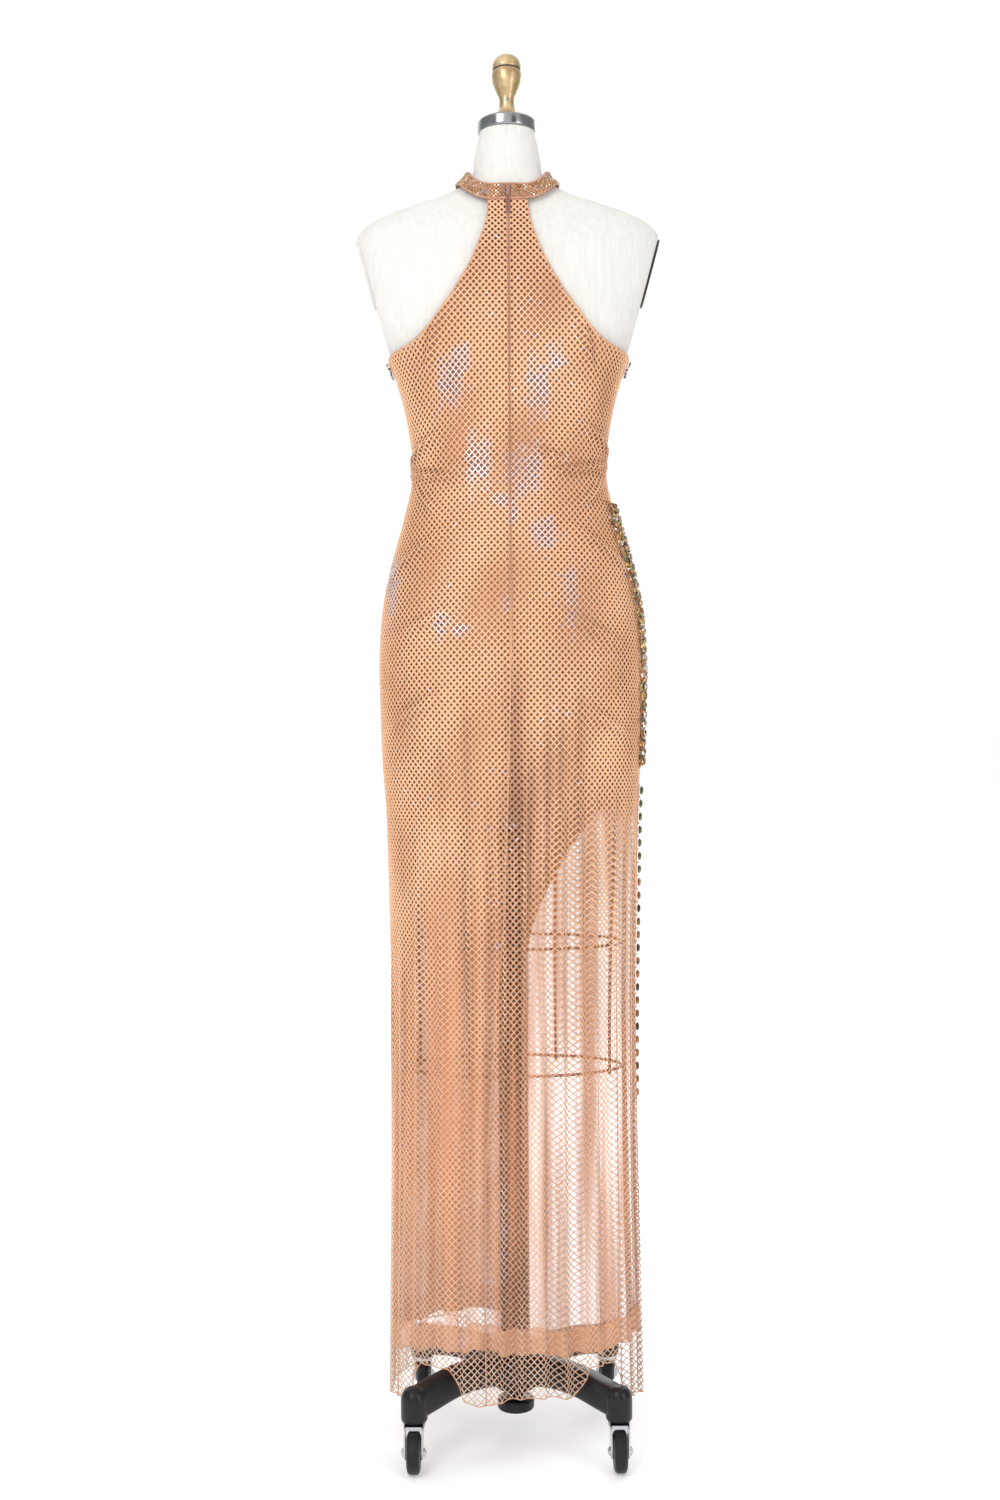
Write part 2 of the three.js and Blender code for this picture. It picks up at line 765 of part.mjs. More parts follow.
function makeZip() {
  const half = (z) => (z > ZIP.tapeBottom ? ZIP.tapeHalf : ZIP.half);
  const heights = rowHeights(COLLAR_FOOT_BACK - GAP).filter((z) => z >= ZIP_BOTTOM);
  heights.push(COLLAR_FOOT_BACK + 1, COLLAR_FOOT_BACK + COLLAR_RISE.back / 2, ZIP_TOP);
  addPiece('zip_tape', band(heights, centreBack, half, zipLift, ZIP.thick), ZIP_TAPE);

  const sliderTop = ZIP_TOP - 2;
  const sliderLow = sliderTop - SLIDER.height;
  const pullLow = sliderTop - 1 - PULL.length;
  const outAt = (z) => -surfacePoint(z, BACK_ANGLE, zipLift(z) + ZIP.thick + GAP)[1];
  const seat = outAt(sliderLow);
  const face = Math.max(seat + SLIDER.thick, outAt(pullLow) + 0.5);
  const slider = new THREE.BoxGeometry(2 * SLIDER.half, face - seat, SLIDER.height);
  slider.translate(0, -(face + seat) / 2, sliderLow + SLIDER.height / 2);
  addPiece('zip_slider', slider, DARK_METAL);

  const pull = new THREE.BoxGeometry(2 * PULL.half, PULL.thick, PULL.length);
  pull.translate(0, -face - GAP - PULL.thick / 2, pullLow + PULL.length / 2);
  addPiece('zip_pull', pull, DARK_METAL);
}

// The angle at a distance in front of (or behind, where negative) the side seam.
function sideAngle(z, across) {
  const { front, back, square } = sectionAt(z);
  const sine = (Math.abs(across) / (across > 0 ? front : back)) ** (square / 2);
  return Math.sign(across) * Math.asin(Math.min(sine, 1));
}

// Beads in rows on a narrow backing at the wearer's right side seam.
function makeBeadTrim() {
  const rows = Math.round((BEADS.top - BEADS.bottom) / BEADS.pitch) * 2 + 1;
  const columns = BEADS.across * 2 + 1;
  const place = (r, c, out) => {
    const z = BEADS.bottom + ((BEADS.top - BEADS.bottom) * r) / (rows - 1);
    const across = BEADS.centre + (c / (columns - 1) - 0.5) * 2 * BEADS.half;
    return betweenRows(z, (row) => surfacePoint(row, sideAngle(row, across), out, false));
  };
  const raised = (r, c) => r % 2 === 1 && c % 2 === 1;
  const outer = (r, c) => place(r, c, BEAD.lift + BEAD.base + (raised(r, c) ? BEAD.height : 0));
  const inner = (r, c) => place(r, c, BEAD.lift);
  addPiece('bead_trim', wall(rows, columns, outer, inner), CRYSTAL);
}

// Single stones on a narrow backing along the back panel's slit edge.
function makeStoneEdge() {
  const bottom = STONES.top - STONES.pitch * STONES.count;
  const heights = [bottom, ...SIDE_HEIGHTS.filter((z) => z > bottom && z < STONES.top), STONES.top];
  const place = (z, across, out) => {
    const point = (row) => surfacePoint(row, sideAngle(row, across - STONES.inset), out);
    return betweenRows(z, point);
  };
  const grid = (out) => (r, c) => place(heights[r], c === 0 ? -STONES.half : STONES.half, out);
  const backing = wall(heights.length, 2, grid(STONES.lift + STONES.base), grid(STONES.lift));
  const stones = Array.from({ length: STONES.count }, (_, i) => {
    const z = STONES.top - STONES.pitch * (i + 0.5);
    const stone = new THREE.OctahedronGeometry(STONE.radius);
    stone.scale(STONE.flat, STONE.flat, STONE.tall);
    const out = STONES.lift + STONES.base / 2 + STONE.radius * STONE.flat;
    stone.translate(...place(z, 0, out));
    return stone;
  });
  addPiece('stone_edge', joined([backing, ...stones]), CRYSTAL);
}

function makeUnderarmTrim(name, side) {
  const count = Math.round(UNDERARM_TRIM.height / UNDERARM_TRIM.pitch);
  const columns = 3;
  const rows = count * 2 + 1;
  const centre = side > 0 ? 0 : Math.PI;
  const bottom = UNDERARM - UNDERARM_TRIM.height;
  const grid = (out, depth) => (r, c) => {
    const z = bottom + (UNDERARM_TRIM.height * r) / (rows - 1) - 1;
    const raised = r % 2 === 1 && c === 1 ? depth : 0;
    const pointAt = (row) => {
      const turn = sideAngle(row, (c - 1) * UNDERARM_TRIM.half);
      return surfacePoint(row, side > 0 ? turn : centre - turn, out + raised, false);
    };
    return betweenRows(z, pointAt);
  };
  const { lift, depth } = UNDERARM_TRIM;
  addPiece(name, wall(rows, columns, grid(lift + 1, depth), grid(lift, 0)), CRYSTAL);
}

// ---------------------------------------------------------------- the dress form
function armPlane(z) {
  return z < UNDERARM ? Infinity : ARM_PLANE.x - ARM_PLANE.lean * (ARM_PLANE.z - z);
}

function makeForm() {
  const heights = [FORM_BOTTOM, 818, ...BODICE_ROWS, ...SHOULDER_ROWS, NECK_TOP];
  const rings = heights.map((z) =>
    Array.from({ length: FORM_COLUMNS }, (_, i) => {
      const tuck = z === FORM_BOTTOM ? 5 : 0;
      const point = surfacePoint(z, (2 * Math.PI * i) / FORM_COLUMNS, FORM_OFFSET - tuck, false);
      const across = Math.min(Math.abs(point[0]), armPlane(z));
      return [Math.sign(point[0]) * across, point[1], z];
    }),
  );
  addPiece('form_body', loft(rings), LINEN);
}

function makeArmPlate(name, side) {
  const points = Array.from({ length: 24 }, (_, i) => {
    const turn = (2 * Math.PI * i) / 24;
    return [ARM_PLATE.halfWidth * Math.cos(turn), ARM_PLATE.halfHeight * Math.sin(turn)];
  });
  const plate = slab(points, ARM_PLATE.thick);
  plate.rotateX(Math.PI / 2);
  plate.rotateZ(side * (Math.PI / 2));
  plate.rotateY(side * Math.atan(ARM_PLANE.lean));
  const lean = Math.atan(ARM_PLANE.lean);
  const out = GAP + 0.05;
  plate.translate(
    side * (armPlane(ARM_PLATE.z) + out * Math.cos(lean)),
    -2,
    ARM_PLATE.z - out * Math.sin(lean),
  );
  addPiece(name, plate, DARK_METAL);
}

function makeNeckAndFinial() {
  const { radius, bottom, top } = CAP;
  const cap = [
    [0, bottom],
    [radius - 1.5, bottom],
    [radius, bottom + 2],
    [radius, top - 2],
    [radius - 2, top],
    [0, top],
  ];
  addPiece('neck_cap', turned(cap, 24), CHROME).position.y = CAP.y;
  const finial = FINIAL.map(([r, up]) => [r, CAP.top + GAP + up]);
  addPiece('finial', turned(finial, 12), BRASS).position.y = CAP.y;
}

function onHoop({ z, half, depth }, angle, inside) {
  return new THREE.Vector3((half - inside) * Math.cos(angle), (depth - inside) * Math.sin(angle), z);
}

function makeCage() {
  const start = degrees(CAGE.rods[0]);
  addPiece('cage_hoop_upper', hoop(CAGE.upper, CAGE.wire, start), STEEL);
  addPiece('cage_hoop_lower', hoop(CAGE.lower, CAGE.wire, start), STEEL);
  const inside = 2 * CAGE.wire + GAP + 0.25;
  CAGE.rods.forEach((angle, i) => {
    const a = degrees(angle);
    const end = onHoop(CAGE.lower, a, inside);
    const path = new THREE.CatmullRomCurve3([
      onHoop(CAGE.top, a, 0),
      onHoop(CAGE.upper, a, inside),
      end,
      end.clone().setZ(CAGE.lower.z - 6),
    ]);
    const circle = Array.from({ length: 5 }, (_, k) => {
      const turn = (2 * Math.PI * k) / 5;
      return [CAGE.wire * Math.cos(turn), CAGE.wire * Math.sin(turn)];
    });
    const settings = { steps: 6, bevelEnabled: false, extrudePath: path };
    addPiece(`cage_rod_${i + 1}`, new THREE.ExtrudeGeometry(outline(circle), settings), STEEL);
  });
}

// ---------------------------------------------------------------- the stand
function makePost() {
  const { rod, sleeve, collar, rodBottom, sleeveTop, collarTop } = POST;
  const rodProfile = [
    [0, rodBottom],
    [rod, rodBottom],
    [rod, sleeveTop + GAP],
    [collar, sleeveTop + GAP],
    [collar, collarTop],
    [rod, collarTop],
    [rod, FORM_BOTTOM - GAP],
    [0, FORM_BOTTOM - GAP],
  ];
  addPiece('post_rod', turned(rodProfile, 20), STEEL);
  const bore = rod + 0.4;
  const low = BASE.top + GAP;
  const sleeveProfile = [
    [bore, low],
    [sleeve, low],
    [sleeve, sleeveTop],
    [bore, sleeveTop],
    [bore, low],
  ];
  addPiece('post_sleeve', turned(sleeveProfile, 20), BLACK_IRON);
}

function makeBase() {
  const hub = turned(
    [
      [0, BASE.bottom],
      [BASE.hub, BASE.bottom],
      [BASE.hub, BASE.top - 3],
      [BASE.hub - 3, BASE.top],
      [0, BASE.top],
    ],
    16,
  );
  const pieces = [hub];
  for (const angle of LEG_ANGLES) {
    const leg = slab(LEG_PROFILE, BASE.legWidth);
    leg.translate(0, 0, -BASE.legWidth / 2);
    leg.rotateX(Math.PI / 2);
    leg.rotateZ(angle);
    const cap = turned(
      [
        [0, BASE.bottom],
        [BASE.cap, BASE.bottom],
        [BASE.cap, BASE.capTop - 11],
        [BASE.cap - 4, BASE.capTop - 3],
        [BASE.cap - 10, BASE.capTop],
        [0, BASE.capTop],
      ],
      12,
    );
    cap.translate(BASE.legReach * Math.cos(angle), BASE.legReach * Math.sin(angle), 0);
    pieces.push(leg, cap);
  }
  addPiece('leg_base', joined(pieces), BLACK_IRON);
  addPiece('hub_foot', turned(FOOT, 16), BLACK_IRON);
}

function makeCaster(index, x, y) {
  const away = Math.sign(y);
  const group = new THREE.Group();
  group.position.set(x, y, 0);
  dressOnForm.add(group);

  const plateTop = BASE.bottom - GAP;
  const plateLow = 51.5;
  const plateRadius = CASTER.plate;
  const plate = turned([[0, plateLow], [plateRadius, plateLow], [plateRadius, plateTop], [0, plateTop]], 16);
  const pieces = [plate];
  for (const side of [-1, 1]) {
    const cheek = slab(FORK_CHEEK, CHEEK.outer - CHEEK.inner);
    cheek.rotateX(Math.PI / 2);
    cheek.rotateZ((away * Math.PI) / 2);
    const near = side > 0 ? CHEEK.inner : -CHEEK.outer;
    cheek.computeBoundingBox();
    cheek.translate(near - cheek.boundingBox.min.x, 0, 0);
    pieces.push(cheek);
    const nutLength = CHEEK.nut - CHEEK.outer + 0.6;
    const nut = new THREE.CylinderGeometry(CHEEK.nutRadius, CHEEK.nutRadius, nutLength, 6);
    nut.rotateZ(Math.PI / 2);
    nut.translate(side * ((CHEEK.nut + CHEEK.outer - 0.6) / 2), away * CASTER.trail, CASTER.radius);
    pieces.push(nut);
  }
  const bridge = new THREE.BoxGeometry(2 * CHEEK.outer, 22, plateTop - plateLow);
  bridge.translate(0, away * 6, (plateTop + plateLow) / 2);
  pieces.push(bridge);
  const axle = new THREE.CylinderGeometry(CASTER.axle, CASTER.axle, 2 * CHEEK.outer, 8);
  axle.rotateZ(Math.PI / 2);
  axle.translate(0, away * CASTER.trail, CASTER.radius);
  pieces.push(axle);
  addPiece(`caster_fork_${index}`, joined(pieces), STEEL, group);

  const { radius, half, bore } = CASTER;
  const sides = 16;
  const rim = radius / Math.cos(Math.PI / sides);
  const wheel = turned(
    [
      [bore, -half],
      [19, -half],
      [rim, -half + 3],
      [rim, half - 3],
      [19, half],
      [bore, half],
      [bore, -half],
    ],
    sides,
  );
  wheel.rotateZ(Math.PI / sides);
  wheel.rotateY(Math.PI / 2);
  wheel.translate(0, away * CASTER.trail, CASTER.radius);
  addPiece(`caster_wheel_${index}`, wheel, RUBBER, group);
}

// ---------------------------------------------------------------- the whole object
makePanels('net', netHem, NET, NET_CLOTH);
makePanels('lining', liningHem, LINING, LINING_CLOTH);
makeCollar();
makeZip();
makeBeadTrim();
makeStoneEdge();
makeUnderarmTrim('underarm_trim_left', -1);
makeUnderarmTrim('underarm_trim_right', 1);
makeForm();
makeArmPlate('arm_plate_left', -1);
makeArmPlate('arm_plate_right', 1);
makeNeckAndFinial();
makeCage();
makePost();
makeBase();
LEG_ANGLES.forEach((angle, i) => {
  const x = Math.sign(Math.cos(angle)) * CASTER.x;
  const y = Math.sign(Math.sin(angle)) * CASTER.y;
  makeCaster(i + 1, x, y);
});

export default dressOnForm;
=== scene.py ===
"""A halter maxi dress of fishnet over a sheer lining, on a dress form with a wheeled stand.

Lengths are in millimetres until a mesh is made, and in metres on the stage and in the materials.
+Z is up, and the back of the dress faces -Y. Angles run round the dress from +X over the front
(+Y), in radians where not said otherwise.
"""
import math

import bpy
import numpy as np
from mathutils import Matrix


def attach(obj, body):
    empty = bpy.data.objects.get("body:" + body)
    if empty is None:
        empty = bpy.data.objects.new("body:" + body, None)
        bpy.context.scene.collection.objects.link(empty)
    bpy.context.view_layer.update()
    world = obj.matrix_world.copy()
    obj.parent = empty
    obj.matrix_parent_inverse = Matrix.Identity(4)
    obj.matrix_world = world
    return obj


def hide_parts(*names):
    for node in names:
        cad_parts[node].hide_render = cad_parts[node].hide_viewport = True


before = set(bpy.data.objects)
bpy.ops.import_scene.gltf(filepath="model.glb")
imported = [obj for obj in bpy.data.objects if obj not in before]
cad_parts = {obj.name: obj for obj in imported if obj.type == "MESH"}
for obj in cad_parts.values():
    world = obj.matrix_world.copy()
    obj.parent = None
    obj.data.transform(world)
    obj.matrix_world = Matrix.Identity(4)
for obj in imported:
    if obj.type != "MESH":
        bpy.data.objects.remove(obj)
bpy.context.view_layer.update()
MM = 0.001
PI = math.pi

# ---------------------------------------------------------------- camera and stage
PHOTO = {"width": 1000, "height": 1500, "axis_x": 511.5, "horizon_y": 770, "roll": 0.4}
CAMERA = {"distance": 2080, "height": 857, "focal_px": 1600, "sensor": 36}
LIGHTS = [
    # name, place, height of what it is turned to, width and height, power
    ("key", (-1.3, -2.4, 2.5), 1.0, (1.0, 1.6), 26),
    ("fill", (1.9, -1.8, 1.3), 0.9, (0.8, 1.8), 15),
    ("strip_left", (-1.9, -0.7, 1.1), 0.95, (0.3, 1.8), 8),
    ("behind", (0.7, 2.5, 1.9), 0.8, (1.4, 1.8), 18),
]
CARDS = [
    # x, y, width, tone, whether it shades the sides
    (-2.2, -1.7, 1.3, 0.03, False),
    (1.3, -2.6, 0.9, 0.03, False),
    (2.6, 0.3, 1.0, 0.03, False),
    (-1.75, 0.001, 2.8, 0.32, True),
    (1.75, 0.001, 2.8, 0.32, True),
]
CARD_BOTTOM, CARD_TOP = 0.2, 3.2
FLOOR_REACH = 60


def make_camera():
    data = bpy.data.cameras.new("camera")
    data.sensor_width = CAMERA["sensor"]
    data.lens = CAMERA["sensor"] * CAMERA["focal_px"] / PHOTO["height"]
    data.shift_y = (PHOTO["horizon_y"] - PHOTO["height"] / 2) / PHOTO["height"]
    camera = bpy.data.objects.new("camera", data)
    aside = (PHOTO["axis_x"] - PHOTO["width"] / 2) * CAMERA["distance"] / CAMERA["focal_px"]
    camera.location = (-aside * MM, -CAMERA["distance"] * MM, CAMERA["height"] * MM)
    camera.rotation_euler = (PI / 2, math.radians(PHOTO["roll"]), 0)
    bpy.context.scene.collection.objects.link(camera)
    bpy.context.scene.camera = camera


def make_light(name, place, aim, size, power):
    data = bpy.data.lights.new(name, "AREA")
    data.shape = "RECTANGLE"
    data.size, data.size_y = size
    data.energy = power
    light = bpy.data.objects.new(name, data)
    light.location = place
    x, y, z = np.array([0, 0, aim]) - place
    light.rotation_euler = (math.atan2(math.hypot(x, y), -z), 0, math.atan2(-x, y))
    bpy.context.scene.collection.objects.link(light)


def make_flat(name, corners, material):
    """A flat piece of the stage."""
    mesh = bpy.data.meshes.new(name)
    mesh.from_pydata(corners, [], [(0, 1, 2, 3)])
    mesh.materials.append(material)
    flat = bpy.data.objects.new(name, mesh)
    bpy.context.scene.collection.objects.link(flat)
    return flat


def make_card(x, y, width, tone, shades):
    """A card out of the camera's sight: a dark one for reflections, a grey one to shade the sides."""
    across = np.array([-y, x, 0]) / math.hypot(x, y) * width / 2
    low, high = np.array([x, y, CARD_BOTTOM]), np.array([x, y, CARD_TOP])
    corners = [low - across, low + across, high + across, high - across]
    card = make_flat("card", corners, plain_material("card", (tone, tone, tone), 0.9))
    card.visible_camera = card.visible_transmission = card.visible_shadow = False
    card.visible_diffuse = shades


def make_stage():
    world = bpy.data.worlds.new("studio")
    world.use_nodes = True
    background = world.node_tree.nodes["Background"]
    background.inputs["Color"].default_value = (1, 1, 1, 1)
    background.inputs["Strength"].default_value = 1.0
    bpy.context.scene.world = world
    bpy.context.scene.view_settings.view_transform = "Standard"

    shader = Shader("floor")
    shader.set(Roughness=0.7, Emission_Color=(0.92, 0.93, 0.96), Emission_Strength=0.24)
    shader.colour(shader.blend(shader.noise(3), (0.90, 0.90, 0.915), (0.92, 0.92, 0.935)))
    far = FLOOR_REACH
    make_flat("floor", [(-far, -far, 0), (far, -far, 0), (far, far, 0), (-far, far, 0)], shader.material)
    for light in LIGHTS:
        make_light(*light)
    for card in CARDS:
        make_card(*card)


# ---------------------------------------------------------------- materials
class Shader:
    """A node material built step by step."""

    def __init__(self, name):
        self.material = bpy.data.materials.new(name)
        self.material.use_nodes = True
        self.tree = self.material.node_tree
        self.bsdf = self.tree.nodes["Principled BSDF"]

    def node(self, kind, **settings):
        made = self.tree.nodes.new(kind)
        for key, value in settings.items():
            setattr(made, key, value)
        return made

    def link(self, source, target):
        self.tree.links.new(source, target)

    def set(self, **values):
        for name, value in values.items():
            socket = self.bsdf.inputs[name.replace("_", " ").title().replace("Ior", "IOR")]
            socket.default_value = (*value, 1) if isinstance(value, tuple) else value

    def position(self, stretch=(1, 1, 1)):
        place = self.node("ShaderNodeTexCoord")
        mapping = self.node("ShaderNodeMapping")
        mapping.inputs["Scale"].default_value = stretch
        self.link(place.outputs["Object"], mapping.inputs["Vector"])
        return mapping.outputs["Vector"]

    def noise(self, scale, detail=3.0, stretch=(1, 1, 1)):
        made = self.node("ShaderNodeTexNoise")
        made.inputs["Scale"].default_value = scale
        made.inputs["Detail"].default_value = detail
        self.link(self.position(stretch), made.inputs["Vector"])
        return made.outputs["Fac"]

    def ramp(self, factor, stops):
        made = self.node("ShaderNodeValToRGB")
        made.color_ramp.elements[0].position = stops[0][0]
        made.color_ramp.elements[1].position = stops[-1][0]
        for position, _ in stops[1:-1]:
            made.color_ramp.elements.new(position)
        for element, (_, colour) in zip(made.color_ramp.elements, stops):
            element.color = (*colour, 1)
        self.link(factor, made.inputs["Fac"])
        return made.outputs["Color"]

    def blend(self, factor, first, second, start=0.3, end=0.7):
        """Goes from the first colour to the second as the factor goes from start to end."""
        return self.ramp(factor, [(start, first), (end, second)])

    def mix(self, factor, a, b):
        made = self.node("ShaderNodeMix", data_type="RGBA")
        self.link(factor, made.inputs["Factor"])
        for socket, value in ((made.inputs[6], a), (made.inputs[7], b)):
            if isinstance(value, tuple):
                socket.default_value = (*value, 1)
            else:
                self.link(value, socket)
        return made.outputs[2]

    def colour(self, source):
        self.link(source, self.bsdf.inputs["Base Color"])

    def attribute(self, name):
        return self.node("ShaderNodeAttribute", attribute_name=name).outputs["Fac"]

    def spread(self, source, start, end, low, high):
        """Goes from low to high as the source goes from start to end."""
        made = self.node("ShaderNodeMapRange")
        values = {"From Min": start, "From Max": end, "To Min": low, "To Max": high}
        for socket, value in values.items():
            made.inputs[socket].default_value = value
        self.link(source, made.inputs["Value"])
        return made.outputs["Result"]

    def height(self, start, end, low=0.0, high=1.0):
        """Goes from low to high between two heights over the floor."""
        place = self.node("ShaderNodeSeparateXYZ")
        self.link(self.position(), place.inputs[0])
        return self.spread(place.outputs["Z"], start, end, low, high)

    def roughness(self, factor, low, high):
        self.link(self.spread(factor, 0, 1, low, high), self.bsdf.inputs["Roughness"])

    def bump(self, height, distance, strength=0.5):
        made = self.node("ShaderNodeBump")
        made.inputs["Distance"].default_value = distance * MM
        made.inputs["Strength"].default_value = strength
        self.link(height, made.inputs["Height"])
        self.link(made.outputs["Normal"], self.bsdf.inputs["Normal"])


def toned(colour, factor):
    return tuple(min(1.0, channel * factor) for channel in colour)


def plain_material(
    name, colour, roughness, metallic=0.0, grain=60.0, spread=0.04, depth=0.05, gloss=0.5
):
    """A finish with a little variation of colour and gloss, and a fine grain."""
    shader = Shader(name)
    shader.set(Metallic=metallic, Specular_Ior_Level=gloss)
    factor = shader.noise(grain)
    shader.colour(shader.blend(factor, toned(colour, 1 - spread), toned(colour, 1 + spread)))
    shader.roughness(shader.noise(grain / 4), roughness * 0.85, min(1.0, roughness * 1.15))
    shader.bump(factor, depth)
    return shader.material


def weave(shader, pitch, depth):
    """Crossed threads as a bump, from two waves. A wave of scale 1 repeats every pi / 10."""
    heights = []
    for direction in ("X", "Z"):
        wave = shader.node("ShaderNodeTexWave", wave_type="BANDS", bands_direction=direction)
        wave.inputs["Scale"].default_value = PI / (10 * pitch * MM)
        wave.inputs["Distortion"].default_value = 0.6
        shader.link(shader.position(), wave.inputs["Vector"])
        heights.append(wave.outputs["Fac"])
    both = shader.node("ShaderNodeMath", operation="MAXIMUM")
    shader.link(heights[0], both.inputs[0])
    shader.link(heights[1], both.inputs[1])
    shader.bump(both.outputs[0], depth)


def net_material():
    """Strands that change from the body to the skirt and to the hem, with foil under a painted highlight,
    painted shade in the folds, and a tone painted lighter below the form.
    """
    shader = Shader("fishnet")
    shader.set(Roughness=0.34, Sheen_Weight=0.15, Specular_Ior_Level=0.6)
    foil_and_painted_highlight = shader.attribute("foil_and_painted_highlight")
    body = shader.blend(shader.noise(9), (0.80, 0.43, 0.235), (0.90, 0.54, 0.315))
    # Painted light: below the form the strands' tone is painted lighter.
    body = shader.mix(shader.height(0.5, 0.84, 0.85, 0.0), body, (0.98, 0.60, 0.37))
    body = shader.mix(shader.height(0.12, 0.34, 0.75, 0.0), body, (0.70, 0.50, 0.38))
    # Painted shade in the folds, from the fold attribute.
    body = shader.mix(shader.attribute("fold"), body, (0.48, 0.225, 0.11))
    # Painted highlight: the foil weight turns the colour pale pink-white. It also makes the strands
    # metallic.
    shader.colour(shader.mix(foil_and_painted_highlight, body, (0.98, 0.80, 0.78)))
    shader.link(foil_and_painted_highlight, shader.bsdf.inputs["Metallic"])
    shader.bump(shader.noise(700), 0.1, 0.3)
    return shader.material


def lining_material(name, colour, over_form, below_form):
    """A sheer cloth. How dense it is changes at the form's lower edge: below it, it is streaked. Its tone is
    painted lighter below the form, and painted darker as shade over the yoke and in the folds.
    """
    shader = Shader(name)
    shader.set(Roughness=0.75, Sheen_Weight=0.2)
    on_form = shader.height(0.79, 0.82)
    thin, dense = ((level,) * 3 for level in below_form)
    sheer = shader.blend(shader.noise(48, stretch=(1, 1, 0.04)), thin, dense, 0.44, 0.64)
    shader.link(shader.mix(on_form, sheer, (over_form,) * 3), shader.bsdf.inputs["Alpha"])
    streaks = shader.noise(30, stretch=(1, 1, 0.1))
    tone = shader.blend(streaks, toned(colour, 0.93), toned(colour, 1.06))
    # Painted light: below the form the tone is painted lighter.
    tone = shader.mix(on_form, toned(colour, 1.25), tone)
    # Painted shade: darker over the yoke.
    tone = shader.mix(shader.height(1.4, 1.54, high=0.85), tone, (0.30, 0.12, 0.065))
    # Painted shade in the folds, from the fold attribute.
    shader.colour(shader.mix(shader.attribute("fold"), tone, (0.27, 0.115, 0.06)))
    weave(shader, 0.9, 0.1)
    return shader.material


def linen_material():
    shader = Shader("linen")
    shader.set(Roughness=0.9, Sheen_Weight=0.25)
    slubs = shader.noise(180, stretch=(1, 1, 0.15))
    shader.colour(shader.blend(slubs, (0.70, 0.685, 0.645), (0.77, 0.755, 0.71)))
    weave(shader, 0.8, 0.25)
    return shader.material


def zip_material():
    """The tape's tone, from the zip's lower end up to the neck."""
    shader = Shader("zip_tape")
    shader.set(Roughness=0.6)
    stops = [(0.0, (0.76, 0.42, 0.24)), (0.2, (0.52, 0.27, 0.16)), (0.45, (0.38, 0.19, 0.115))]
    stops += [(0.84, (0.42, 0.20, 0.145)), (0.9, (0.56, 0.28, 0.21)), (0.93, (0.28, 0.12, 0.10))]
    shader.colour(shader.ramp(shader.height(1.0, 1.6), stops))
    weave(shader, 0.9, 0.15)
    return shader.material


def gem_material(name, colour, roughness=0.08, metallic=0.75):
    shader = Shader(name)
    shader.set(Metallic=metallic, Roughness=roughness, Specular_Ior_Level=0.8)
    shade = shader.noise(220, detail=0.0)
    shader.colour(shader.blend(shade, toned(colour, 0.55), toned(colour, 1.3), 0.35, 0.65))
    return shader.material


def brass_material():
    shader = Shader("finial_brass")
    shader.set(Metallic=0.75)
    mottle = shader.noise(70, detail=6)
    shader.colour(shader.blend(mottle, (0.41, 0.285, 0.14), (0.76, 0.57, 0.33)))
    shader.roughness(mottle, 0.45, 0.3)
    shader.bump(mottle, 0.2)
    return shader.material


# ---------------------------------------------------------------- meshes
class Parts:
    """Vertices and faces gathered for one mesh, with a material index for each face."""

    def __init__(self):
        self.points, self.faces, self.indices, self.count = [], [], [], 0

    def add(self, points, faces, index=0):
        points = np.asarray(points, float).reshape(-1, 3)
        self.points.append(points)
        self.faces.extend([tuple(self.count + i for i in face) for face in faces])
        self.indices.extend([index] * len(faces))
        self.count += len(points)
        return self


def make_piece(
    name, parts, materials, replaces=(), body="dressed_form", smooth=True, angle=None
):
    """A mesh on its body, with the solids that it stands in for."""
    mesh = bpy.data.meshes.new(name)
    mesh.from_pydata((np.concatenate(parts.points) * MM).tolist(), [], parts.faces)
    for material in materials:
        mesh.materials.append(material)
    if len(materials) > 1:
        mesh.polygons.foreach_set("material_index", parts.indices)
    mesh.polygons.foreach_set("use_smooth", [smooth] * len(mesh.polygons))
    if angle is not None:
        mesh.set_sharp_from_angle(angle=math.radians(angle))
    mesh.update()
    piece = bpy.data.objects.new(name, mesh)
    bpy.context.scene.collection.objects.link(piece)
    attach(piece, body)
    if replaces:
        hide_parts(*replaces)
    return piece


def circle(sides, twist=0.0):
    return (np.arange(sides) + twist) * 2 * PI / sides


def grid_faces(rows, columns, around=False, flip=False):
    """The faces between rows of points. With around, each row closes on itself."""
    faces = []
    for r in range(rows - 1):
        for c in range(columns if around else columns - 1):
            n = (c + 1) % columns
            quad = (r * columns + c, r * columns + n, (r + 1) * columns + n, (r + 1) * columns + c)
            faces.append(quad[::-1] if flip else quad)
    return faces


def barrel_faces(rows, sides, flip=False, ends=(True, True)):
    """The faces of rings stacked one on another, with a flat face at each end that has one."""
    faces = grid_faces(rows, sides, around=True, flip=flip)
    caps = range(sides - 1, -1, -1), range((rows - 1) * sides, rows * sides)
    return faces + [tuple(cap[::-1] if flip else cap) for cap, wanted in zip(caps, ends) if wanted]


def wall(outer, inner):
    """A closed sheet between two grids of points."""
    rows, columns = outer.shape[:2]
    sheet = rows * columns
    points = np.concatenate([outer.reshape(-1, 3), inner.reshape(-1, 3)])
    faces = grid_faces(rows, columns)
    faces += [tuple(sheet + i for i in face[::-1]) for face in grid_faces(rows, columns)]
    rim = [r * columns for r in range(rows - 1, 0, -1)] + list(range(columns - 1))
    rim += [r * columns + columns - 1 for r in range(rows - 1)]
    rim += [sheet - 1 - c for c in range(columns - 1)]
    for here, there in zip(rim, rim[1:] + rim[:1]):
        faces.append((there, here, sheet + here, sheet + there))
    return points, faces


